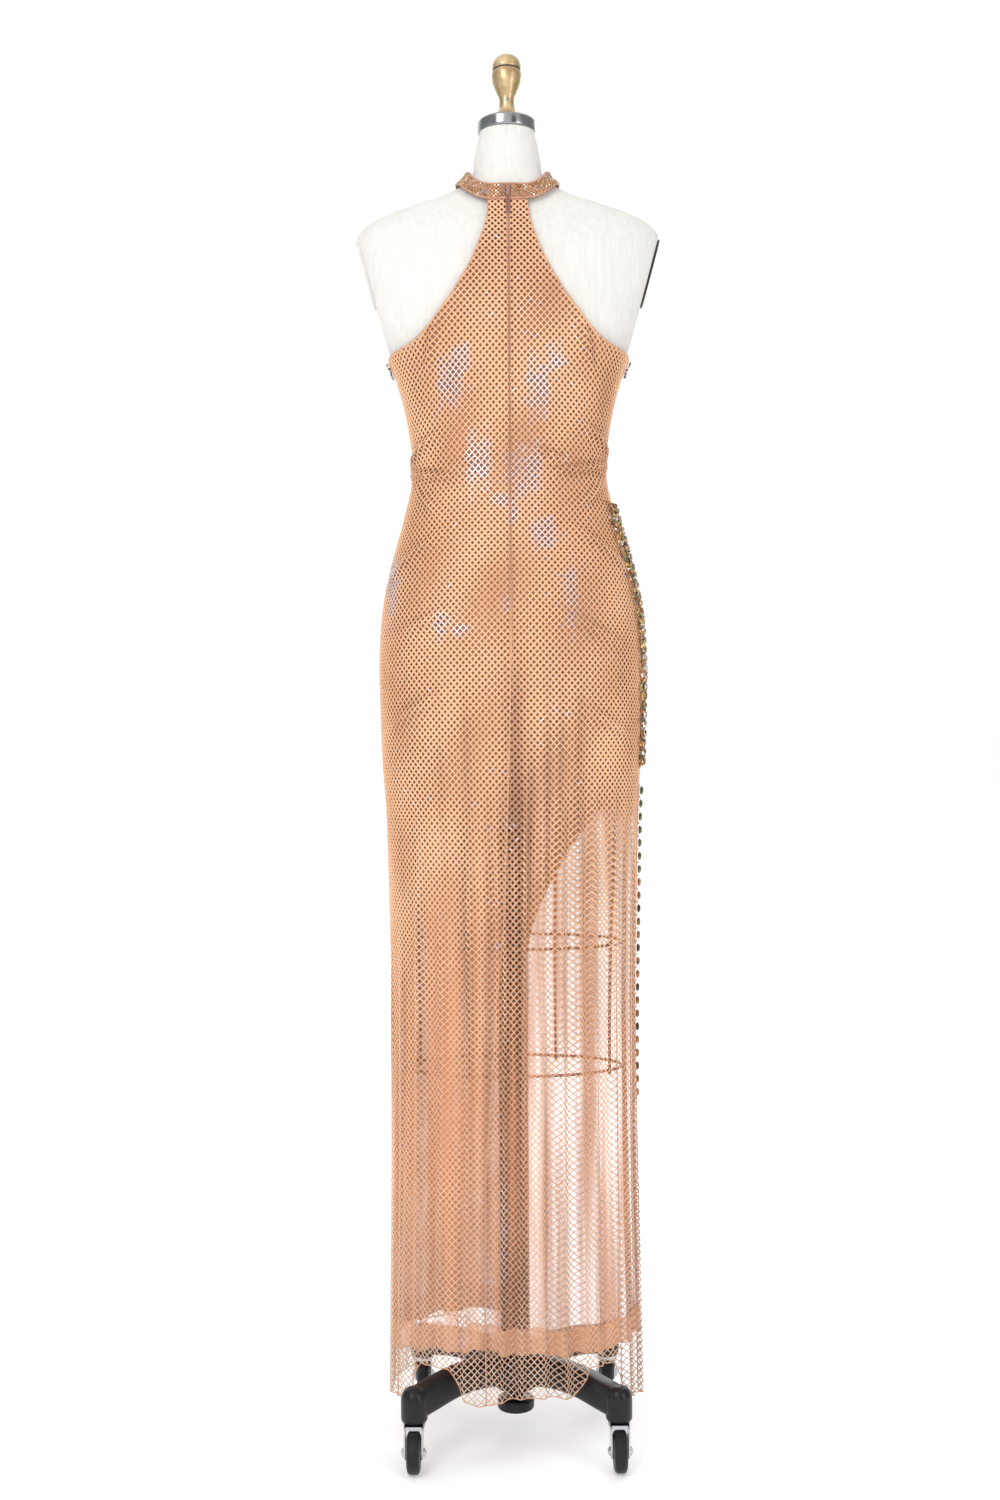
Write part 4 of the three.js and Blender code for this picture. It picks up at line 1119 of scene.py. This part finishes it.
def collar_point(share, up, outward):
    """A point of the collar, by its share of the way round and of the way up."""
    parting = COLLAR["parting"] / NECK_OVAL["back"]
    direction = 1.5 * PI + parting + 2 * (PI - parting) * share
    z = collar_foot(direction) + round_height(COLLAR, direction) * up
    return reach_point(z, direction, outward)


def gem(centre, out, radius, sides=8, flat=0.75, tall=1.0):
    """A cut stone: a table, a crown and a short back."""
    out = out / np.linalg.norm(out)
    side = np.cross(out, [0.0, 0.0, 1.0])
    side = side / np.linalg.norm(side) if np.linalg.norm(side) > 0.05 else np.array([1.0, 0, 0])
    up = np.cross(side, out)
    rings = []
    for reach, lift, twist in ((0.55, 0.62, 0.5), (1.0, 0.0, 0.0), (0.5, -0.35, 0.5)):
        turn = circle(sides, twist)[:, None]
        ring = side * np.cos(turn) + up * np.sin(turn) * tall
        rings.append(centre + ring * reach * radius + out * lift * radius * flat)
    faces = []
    for c in range(sides):
        n = (c + 1) % sides
        faces += [(c, sides + c, sides + n), (c, sides + n, n)]
        faces += [(sides + c, 2 * sides + c, sides + n), (sides + n, 2 * sides + c, 2 * sides + n)]
    faces += [tuple(range(sides)), tuple(range(3 * sides - 1, 2 * sides - 1, -1))]
    return np.concatenate(rings), faces


COLLAR_NET = {"cells": 86, "rows": 8, "lift": 2.0, "stone_lift": 2.5}


def make_collar():
    around = np.linspace(0, 1, 161)
    share, up = np.meshgrid(around, np.linspace(0, 1, 7))
    swell = 0.25 * np.sin(PI * up)
    band = Parts().add(*wall(collar_point(share, up, 1.4 + swell), collar_point(share, up, 0.6)))
    collar = make_piece("collar_band", band, [COLLAR_LINING], ["collar"])
    last, rows = 2 * COLLAR_NET["cells"], COLLAR_NET["rows"]
    parts = Parts()
    for j in range(rows):
        for a in range(j % 2, last, 2):
            for b in (a - 1, a + 1):
                if not 0 <= b <= last:
                    continue
                path = collar_point(np.array([a, b]) / last, np.array([j, j + 1]) / rows, COLLAR_NET["lift"])
                out = path * [1, 1, 0]
                parts.add(*tube(path, 0.75, 4, normal=out / np.linalg.norm(out, axis=1)[:, None]))
    for height in (0.0, 1.0):
        parts.add(*tube(collar_point(around, height, 1.2), 1.3, 8), 1)
    net = make_piece("collar_fishnet", parts, [COLLAR_CLOTH, COLLAR_EDGE])
    crystals = Parts()
    random = np.random.default_rng(11)
    for j in range(1, rows):
        for a in range(2 - j % 2, last, 2):
            if random.random() > 0.8:
                continue
            place = np.array([a / last]), np.array([j / rows])
            centre = collar_point(*place, COLLAR_NET["stone_lift"])[0]
            out = centre * [1, 1, 0]
            crystals.add(*gem(centre, out, random.uniform(1.1, 1.8), 6), random.integers(3))
    finishes = [CRYSTAL[kind] for kind in ("clear", "copper", "gold")]
    stones = make_piece("collar_crystals", crystals, finishes, smooth=False)
    return collar, [net, stones]


def side_angle(z, across):
    """The angle at a distance in front of the side seam."""
    depth = look_up(SECTIONS, z, 2) if across > 0 else look_up(SECTIONS, z, 3)
    sine = (abs(across) / depth) ** (look_up(SECTIONS, z, 4) / 2)
    return math.copysign(math.asin(min(float(sine), 1.0)), across)


def on_side(z, across, folded=False, left=False):
    """A point of the cloth at the side seam, and the way out of the cloth there."""
    turn = side_angle(z, across)
    turn = PI - turn if left else turn
    return surface(z, turn, 0, folded), normals(z, turn, folded)


def add_backing(parts, heights, across, outside=1.4, folded=False, left=False):
    """The strip of net that a row of stones is sewn to."""
    turn = np.array([[side_angle(z, a) for a in across] for z in heights])
    turn = PI - turn[:, ::-1] if left else turn
    z = np.repeat(heights[:, None], len(across), 1)
    faces = (surface(z, turn, out, folded) for out in (outside, 0.4))
    parts.add(*wall(*faces), len(CRYSTAL))


def finish_of(kind):
    """A kind's place among the finishes of a stone piece, whose last one is the backing's."""
    return list(CRYSTAL).index(kind)


def make_stone_piece(name, parts, node):
    return make_piece(name, parts, [*CRYSTAL.values(), NET_CLOTH], [node], smooth=False)


def make_zip():
    """The tape's two halves, which widen over the yoke and at the collar."""
    heights = np.linspace(ZIP_BOTTOM, COLLAR_FOOT_BACK - 2, 160)
    on_collar = np.linspace(COLLAR_FOOT_BACK + 1, ZIP_TOP, 8)
    lift = np.repeat([0.5, 2.9], [len(heights), len(on_collar)])[:, None]
    heights = np.concatenate([heights, on_collar])[:, None]
    half = np.interp(heights, (1480, 1550, 1562), (0.55, 0.8, 1.8))
    columns = np.array([0.08, 0.3, 0.75, 1.0])
    rise = np.array([0.8, 1.0, 0.5, 0.1])
    parts = Parts()
    for side in (-1, 1):
        turn = centre_back(heights) + side * columns * half / look_up(SECTIONS, heights)
        turn, out = turn[:, ::side], (lift + rise)[:, ::side]
        parts.add(*wall(surface(heights, turn, out), surface(heights, turn, np.repeat(lift, 4, 1))))
    return make_piece("zip_line", parts, [ZIP_TAPE], ["zip_tape"])


BEADS = {"rows": 98, "bottom": 864, "pitch": 3.42, "across": (-44.6, 7.5, 3.9), "thin_from": -30}
BEAD_SHARES = {"clear": 0.14, "copper": 0.36, "green": 0.12, "gold": 0.3, "dark": 0.08}
# Sides, and height as a share of the radius.
BEAD_SHAPES = {"round": (6, 0.95), "cut": (8, 0.7)}
BIG_STONES = {"rows": 28, "bottom": 868, "pitch": 12, "radius": 4.0}
BIG_STONE_KINDS = ("dark", "green", "copper", "dark", "gold", "copper", "green")


def make_beads():
    """Beads that crowd the side seam and thin out towards the back, with two rows of big stones."""
    random = np.random.default_rng(5)
    parts = Parts()
    for row in range(BEADS["rows"]):
        z = BEADS["bottom"] + BEADS["pitch"] * row
        for across in np.arange(*BEADS["across"]):
            beyond = across - BEADS["thin_from"]
            if beyond < 0 and random.random() > 0.75 + beyond * 0.035:
                continue
            point, out = on_side(z + random.uniform(-1.2, 1.2), across + random.uniform(-1.0, 1.0))
            radius = random.uniform(1.9, 3.4)
            sides, flat = BEAD_SHAPES["cut" if random.random() < 0.6 else "round"]
            centre = point + out * (1.2 + radius * random.uniform(0.4, 1.2))
            tilt = out + random.uniform(-0.5, 0.5, 3)
            kind = random.choice(list(BEAD_SHARES), p=list(BEAD_SHARES.values()))
            parts.add(*gem(centre, tilt, radius, sides, flat), finish_of(kind))
    for row in range(BIG_STONES["rows"]):
        for across, lift in ((-14.0, 3.6), (0.5, 5.2)):
            point, out = on_side(BIG_STONES["bottom"] + BIG_STONES["pitch"] * row, across)
            kind = BIG_STONE_KINDS[(row + int(across)) % len(BIG_STONE_KINDS)]
            stone = gem(point + out * lift, out, BIG_STONES["radius"], 8, 0.9, 1.3)
            parts.add(*stone, finish_of(kind))
    add_backing(parts, np.linspace(858, 1203, 60), np.linspace(-30.5, 8.5, 11))
    return make_stone_piece("bead_band", parts, "bead_trim")


def make_stones():
    """Single stones down the slit's edge, with a small one between each two."""
    parts = Parts()
    count, pitch, inset, top = 24, 17, 5, 838
    for i in range(count):
        z = top - pitch * (i + 0.5)
        point, out = on_side(z, -inset, True)
        kind = "green" if i < 7 else ("copper" if i % 3 else "dark")
        stone = gem(point + out * 3.6, out + [0.4, 0, 0], 4.6, 10, 0.95, 1.35)
        parts.add(*stone, finish_of(kind))
        point, out = on_side(z - pitch / 2, -inset, True)
        parts.add(*gem(point + out * 2.0, out, 1.9, 6, 0.9), finish_of("clear"))
    heights, across = np.linspace(top - pitch * count, top, 60), np.linspace(-inset - 3, -inset + 3, 4)
    add_backing(parts, heights, across, 1.3, True)
    return make_stone_piece("slit_stones", parts, "stone_edge")


def make_underarm(side):
    """A small cluster of stones where the armhole meets the side seam."""
    name = SIDES[side]
    random = np.random.default_rng(20 + side)
    parts = Parts()
    for step in range(5):
        for across in (-2.4, 0.4, 3.0):
            z = UNDERARM - 19 + step * 4.2 + random.uniform(-0.6, 0.6)
            point, out = on_side(z, across, left=side < 0)
            centre = point + out * random.uniform(2.0, 3.6)
            tilt = out + random.uniform(-0.3, 0.3, 3)
            kind = random.choice(["clear", "dark", "green"])
            parts.add(*gem(centre, tilt, 2.2, 8), finish_of(kind))
    heights = np.linspace(UNDERARM - 21, UNDERARM - 1, 8)
    add_backing(parts, heights, (-3.2, 0, 3.2), left=side < 0)
    return make_stone_piece(f"underarm_stones_{name}", parts, f"underarm_trim_{name}")


# ---------------------------------------------------------------- the dress form
SIDES = {-1: "left", 1: "right"}
ARM_PLANE = {"z": 1540, "x": 193, "lean": 0.27}
ARM_PLATE = {"z": 1500, "half_height": 45, "half_width": 33}
# A seam is a groove of this depth and half width, on a body of about this radius.
FORM_GROOVE = {"depth": 0.7, "half_width": 1.6, "radius": 150}
FORM_SEAMS = [math.radians(a) for a in (270, 236, 304, 90, 56, 124, 0, 180)]
CAP = {"radius": 38, "bottom": 1685, "top": 1701, "y": 6}
FINIAL = [
    # radius, height over the cap
    (0, 0),
    (17, 0),
    (19, 3),
    (16.5, 8),
    (11, 13),
    (9.5, 20),
    (9.5, 31),
    (13, 38),
    (18, 50),
    (19.5, 61),
    (17.6, 66),
    (17.6, 68),
    (18.8, 70),
    (17, 79),
    (11, 85),
    (0, 87),
]


def make_form():
    """The linen body, tucked in at its lower edge and cut flat at the arms."""
    edge = [FORM_BOTTOM, FORM_BOTTOM + 3, FORM_BOTTOM + 9]
    heights = np.concatenate([edge, np.arange(824, UNDERARM, 9), np.arange(UNDERARM, 1684, 5), [NECK_TOP]])
    tuck = np.where(heights == FORM_BOTTOM, 5, np.where(heights == FORM_BOTTOM + 3, 1.2, 0))
    columns = 144
    z, turn = np.meshgrid(heights, circle(columns), indexing="ij")
    depth, half_width, radius = FORM_GROOVE.values()
    away = (angle_between(turn, seam) * radius / half_width for seam in FORM_SEAMS)
    groove = depth * sum(np.exp(-(reach**2)) for reach in away)
    points = surface(z, turn, FORM_OFFSET - tuck[:, None] - groove, False)
    plane = ARM_PLANE["x"] - ARM_PLANE["lean"] * (ARM_PLANE["z"] - z)
    limit = np.where(z < UNDERARM, np.inf, plane)
    points[..., 0] = np.clip(points[..., 0], -limit, limit)
    parts = Parts().add(points, barrel_faces(len(heights), columns))
    return make_piece("linen_form", parts, [LINEN], ["form_body"], angle=50)


def make_arm_plate(side):
    name = SIDES[side]
    turn = circle(72)
    lean = math.atan(ARM_PLANE["lean"])
    z = ARM_PLATE["z"]
    base_x = ARM_PLANE["x"] - ARM_PLANE["lean"] * (ARM_PLANE["z"] - z)
    rings = []
    for out, shrink in ((0.35, 0), (2.4, 0), (3.1, 0.6), (3.3, 1.6)):
        along = (ARM_PLATE["half_height"] - shrink) * np.sin(turn)
        across = (ARM_PLATE["half_width"] - shrink) * np.cos(turn)
        x = base_x + out * math.cos(lean) + along * math.sin(lean)
        height = z - out * math.sin(lean) + along * math.cos(lean)
        rings.append(np.stack([side * x, -2 + side * across, height], 1))
    parts = Parts().add(np.concatenate(rings), barrel_faces(len(rings), len(turn), flip=True))
    finish = [DARK_METAL if side > 0 else LINEN]
    node = f"arm_plate_{name}"
    return make_piece(f"arm_disc_{name}", parts, finish, [node], angle=40)


def make_cap_and_finial():
    radius, bottom, top, y = (CAP[k] for k in ("radius", "bottom", "top", "y"))
    profile = [(0, bottom), (radius - 1.5, bottom), (radius, bottom + 2)]
    profile += [(radius, top - 2), (radius - 2, top), (0, top)]
    parts = Parts().add(*lathe(rounded(profile, 1.6), 96, (0, y)))
    make_piece("chrome_cap", parts, [CHROME], ["neck_cap"], angle=50)
    profile = [(r, top + 0.3 + up) for r, up in FINIAL]
    parts = Parts().add(*lathe(rounded(profile, 3.5, 5), 72, (0, y)))
    ring = [(17.9, top + 66.4), (18.1, top + 67), (18.1, top + 67.8), (17.9, top + 68.3)]
    parts.add(*lathe(ring, 72, (0, y)), 1)
    points, faces = lathe([(0, 0), (2.4, 0), (2.4, 0.9), (1.8, 1.3), (0, 1.3)], 16)
    screw = np.stack([points[:, 0], -points[:, 2] + y - 9.3, points[:, 1] + top + 27], 1)
    parts.add(screw, faces, 2)
    finishes = [BRASS, DARK_METAL, CHROME]
    return make_piece("finial_knob", parts, finishes, ["finial"], angle=40)


CAGE = {
    "wire": 2,
    "rods": (-115, -25, 65, 155),
    "top": (807.7, 146, 96),
    "upper": (634, 142, 98),
    "lower": (473, 140, 78),
}


def on_hoop(hoop, angle, inside=0.0):
    """A point of a cage hoop, which is given by its height, half width and half depth."""
    z, half, depth = hoop
    return np.array([(half - inside) * math.cos(angle), (depth - inside) * math.sin(angle), z])


def make_cage():
    """Two wire hoops, and four ribs that bend down past their insides."""
    for name in ("upper", "lower"):
        path = [on_hoop(CAGE[name], turn) for turn in np.linspace(0, 2 * PI, 121)[:-1]]
        parts = Parts().add(*tube(path, CAGE["wire"], closed=True))
        make_piece(f"hoop_{name}", parts, [WIRE], [f"cage_hoop_{name}"])
    inside = 2 * CAGE["wire"] + 0.55
    s = np.linspace(0, 1, 30)[:, None]
    for i, degrees in enumerate(CAGE["rods"], 1):
        angle = math.radians(degrees)
        top = on_hoop(CAGE["top"], angle)
        middle, low = (on_hoop(CAGE[hoop], angle, inside) for hoop in ("upper", "lower"))
        bend = middle + (middle - (top + low) / 2)
        path = (1 - s) ** 2 * top + 2 * s * (1 - s) * bend + s * s * low
        path = np.concatenate([path, [low - [0, 0, 6]]])
        parts = Parts().add(*tube(path, CAGE["wire"]))
        make_piece(f"rib_{i}", parts, [WIRE], [f"cage_rod_{i}"])


# ---------------------------------------------------------------- the stand
POST = {"rod": 14, "sleeve": 19, "collar": 24, "rod_bottom": 300, "sleeve_top": 780, "collar_top": 798}
BASE = {"hub": 27, "bottom": 57, "top": 106, "half_width": 15, "reach": 169, "cap": 16.5, "cap_top": 99}
LEG_LOW = [(8, 62), (34, 66), (64, 71), (104, 71), (140, 65), (169, 60)]
LEG_HIGH = [(8, 104), (27, 106), (62, 109), (112, 107), (150, 100), (169, 96)]
FOOT = [(0, 28.5), (22.5, 28.5), (24, 31), (24, 40), (22, 43), (9, 44), (12, 56.7), (0, 56.7)]


def make_post():
    rod, collar, low, shoulder = (POST[k] for k in ("rod", "collar", "rod_bottom", "sleeve_top"))
    profile = [(0, low), (rod, low), (rod, shoulder + 0.3), (collar, shoulder + 0.3)]
    profile += [(collar, POST["collar_top"]), (rod, POST["collar_top"])]
    profile += [(rod, FORM_BOTTOM - 0.3), (0, FORM_BOTTOM - 0.3)]
    parts = Parts().add(*lathe(rounded(profile, 1.0, 3), 48))
    make_piece("inner_post", parts, [STEEL], ["post_rod"], angle=40)
    bore, sleeve, low = rod + 0.4, POST["sleeve"], BASE["top"] + 0.3
    profile = [(bore, low), (sleeve, low), (sleeve, shoulder - 1), (sleeve - 1, shoulder)]
    profile += [(bore, shoulder), (bore, low)]
    parts = Parts().add(*lathe(profile, 48, capped=False))
    return make_piece("outer_post", parts, [IRON], ["post_sleeve"], "stand", angle=40)


def make_base():
    bottom, top, cap_radius, cap_top = (BASE[k] for k in ("bottom", "top", "cap", "cap_top"))
    hub = [(0, bottom), (BASE["hub"], bottom), (BASE["hub"], top - 3), (BASE["hub"] - 3, top), (0, top)]
    parts = Parts().add(*lathe(rounded(hub, 2.5), 64))
    turn = circle(28)
    cap = [(0, bottom), (cap_radius, bottom), (cap_radius, cap_top - 11)]
    cap += [(cap_radius - 4, cap_top - 3), (cap_radius - 10, cap_top), (0, cap_top)]
    out = np.linspace(8, BASE["reach"], 34)[:, None]
    low, high = look_up(LEG_LOW, out), look_up(LEG_HIGH, out)
    half = BASE["half_width"] * (0.94 + 0.06 * np.cos((out - 8) / 161 * 2 * PI))
    across = half * signed_power(np.cos(turn), 0.45)
    height = (low + high) / 2 + (high - low) / 2 * signed_power(np.sin(turn), 0.6)
    for leg in LEG_ANGLES:
        x = out * math.cos(leg) - across * math.sin(leg)
        y = out * math.sin(leg) + across * math.cos(leg)
        parts.add(np.stack([x, y, height], -1), barrel_faces(len(out), len(turn)))
        centre = (BASE["reach"] * math.cos(leg), BASE["reach"] * math.sin(leg))
        parts.add(*lathe(rounded(cap, 5, 5), 48, centre))
    base = make_piece("cast_base", parts, [IRON], ["leg_base"], "stand", angle=45)
    parts = Parts().add(*lathe(rounded(FOOT, 1.6), 64))
    make_piece("foot_disc", parts, [IRON], ["hub_foot"], "stand", angle=45)
    return base


FORK_CHEEK = [(-9, 56.7), (-9, 51.5), (6, 32), (9, 17), (21, 17), (25, 30), (20, 56.7)]
CHEEK = {"inner": 9.4, "outer": 11.8, "nut": 14.4, "nut_radius": 6}


def prism(outline, low, high, bevel=0.5):
    """An outline of (y, z) points pushed out along X, with its rims eased."""
    outline = np.asarray(outline, float)
    middle = outline.mean(0)
    rings = []
    for x, shrink in ((low, bevel), (low + bevel, 0), (high - bevel, 0), (high, bevel)):
        pulled = outline + (middle - outline) * (shrink / np.linalg.norm(middle - outline, axis=1)[:, None])
        rings.append(np.column_stack([np.full(len(outline), x), pulled]))
    return np.concatenate(rings), barrel_faces(len(rings), len(outline))


def along_x(points, offset):
    """Turns a lathe about Z into one about X."""
    return np.stack([points[:, 2], points[:, 1], -points[:, 0]], 1) + offset


def make_caster(index, x, y):
    """A fork with its axle and nuts on one body, and its wheel on another."""
    away = math.copysign(1, y)
    centre = np.array([x, y + away * CASTER["trail"], CASTER["radius"]])
    outline = rounded(FORK_CHEEK + FORK_CHEEK[:2], 4, 4)[1:-1]
    outline = [(y + away * along, z) for along, z in outline]
    outer, wide = CHEEK["outer"], CHEEK["nut_radius"]
    nut = [(0, 0), (wide, 0), (wide, 2.0), (wide - 1, 2.6), (0, 2.6)]
    tip = [(0, 0), (3.2, 0), (3.2, 2.4), (2.2, 3.4), (0, 3.4)]
    parts = Parts()
    for side in (-1, 1):
        low, high = sorted((side * CHEEK["inner"], side * outer))
        parts.add(*prism(outline, x + low, x + high))
        for profile, sides, start in ((nut, 6, outer - 0.1), (tip, 20, CHEEK["nut"] - 2.4)):
            points, faces = lathe(profile, sides)
            points[:, 2] *= side
            parts.add(along_x(points, centre + [side * start, 0, 0]), faces)
    plate = rounded([(0, 51.5), (14, 51.5), (14, 56.7), (0, 56.7)], 1.0, 3)
    parts.add(*lathe(plate, 40, (x, y)))
    bridge = [(-9, 52), (17, 52), (17, 56.5), (-9, 56.5)]
    parts.add(*prism([(y + away * a, z) for a, z in bridge], x - outer, x + outer))
    points, faces = lathe([(0, -outer), (3.9, -outer), (3.9, outer), (0, outer)], 24)
    parts.add(along_x(points, centre), faces)
    body, node = f"fork_{index}", f"caster_fork_{index}"
    make_piece(f"fork_{index}_steel", parts, [ZINC], [node], body, angle=35)
    radius, half = CASTER["radius"], CASTER["half"]
    tread = [(4.2, -half + 1), (10, -half + 1), (11, -half), (19, -half)]
    tread += [(23.5, -half + 1.4), (radius, -half + 4)]
    tread = rounded(tread + [(r, -z) for r, z in reversed(tread)], 1.6, 4)
    parts = Parts()
    for profile in (tread, [(4.2, half - 1), (4.2, -half + 1)]):
        points, faces = lathe(profile, 72, capped=False)
        parts.add(along_x(points, centre), faces)
    body, node = f"wheel_{index}", f"caster_wheel_{index}"
    make_piece(f"wheel_{index}_tyre", parts, [RUBBER], [node], body, angle=40)


# ---------------------------------------------------------------- the whole scene
make_camera()
NET_CLOTH = net_material()
PIPING = plain_material("net_piping", (0.60, 0.325, 0.19), 0.5, grain=200, spread=0.12)
LININGS = {
    False: lining_material("sheer_lining", (0.68, 0.345, 0.195), 0.88, (0.12, 0.66)),
    True: lining_material("front_lining", (0.66, 0.34, 0.19), 0.88, (0.5, 0.9)),
}
HEM_BAND = lining_material("lining_hem_band", (0.80, 0.46, 0.28), 0.8, (0.45, 0.75))
COLLAR_CLOTH = plain_material("collar_net", (0.60, 0.31, 0.18), 0.4, grain=300, spread=0.25, depth=0.2)
COLLAR_EDGE = plain_material("collar_edge", (0.50, 0.26, 0.17), 0.5, grain=300, spread=0.3, depth=0.3)
COLLAR_LINING = plain_material("collar_lining", (0.42, 0.22, 0.13), 0.6, grain=300, spread=0.2, depth=0.2)
LINEN = linen_material()
ZIP_TAPE = zip_material()
DARK_METAL = plain_material("dark_metal", (0.035, 0.03, 0.028), 0.45, 0.3)
PULL_ENAMEL = plain_material("pull_enamel", (0.30, 0.14, 0.12), 0.4, gloss=0.6)
CHROME = plain_material("polished_chrome", (0.35, 0.36, 0.37), 0.22, 1.0, spread=0.02, depth=0.01)
BRASS = brass_material()
WIRE = plain_material("drawn_wire", (0.30, 0.19, 0.13), 0.4, 0.8)
STEEL = plain_material("post_steel", (0.42, 0.42, 0.44), 0.35, 0.9)
IRON = plain_material("black_iron", (0.010, 0.010, 0.011), 0.3, grain=500, spread=0.1, depth=0.06, gloss=0.3)
ZINC = plain_material("zinc_plate", (0.55, 0.56, 0.58), 0.25, 1.0)
RUBBER = plain_material("black_rubber", (0.010, 0.010, 0.011), 0.45, gloss=0.3)
CRYSTAL = {
    "clear": gem_material("clear_crystal", (0.75, 0.72, 0.68)),
    "copper": gem_material("copper_bead", (0.42, 0.19, 0.08), 0.16, 0.4),
    "green": gem_material("green_bead", (0.15, 0.19, 0.10), 0.16, 0.5),
    "gold": gem_material("gold_bead", (0.55, 0.37, 0.13), 0.14, 0.6),
    "dark": gem_material("dark_bead", (0.07, 0.05, 0.04), 0.16, 0.4),
}
make_stage()

# Each panel's flat cut: width, length and area.
CUTS = {
    FRONT: ((0.50, 1.56), 0.50),
    BACK_LEFT: ((0.26, 1.54), 0.30),
    BACK_RIGHT: ((0.30, 1.54), 0.33),
}
for seed, panel in enumerate(CUTS):
    lining, hem_band = make_lining(panel)
    net = make_net(panel, seed)
collar, on_collar = make_collar()
make_zip()
make_beads()
make_stones()
for side in SIDES:
    make_underarm(side)
make_form()
for side in SIDES:
    make_arm_plate(side)
make_cap_and_finial()
make_cage()
make_post()
make_base()
for i, leg in enumerate(LEG_ANGLES):
    make_caster(i + 1, math.copysign(CASTER["x"], math.cos(leg)), math.copysign(CASTER["y"], math.sin(leg)))

for name, finish in (("zip_slider", DARK_METAL), ("zip_pull", PULL_ENAMEL)):
    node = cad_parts[name]
    node.data.materials.clear()
    node.data.materials.append(finish)
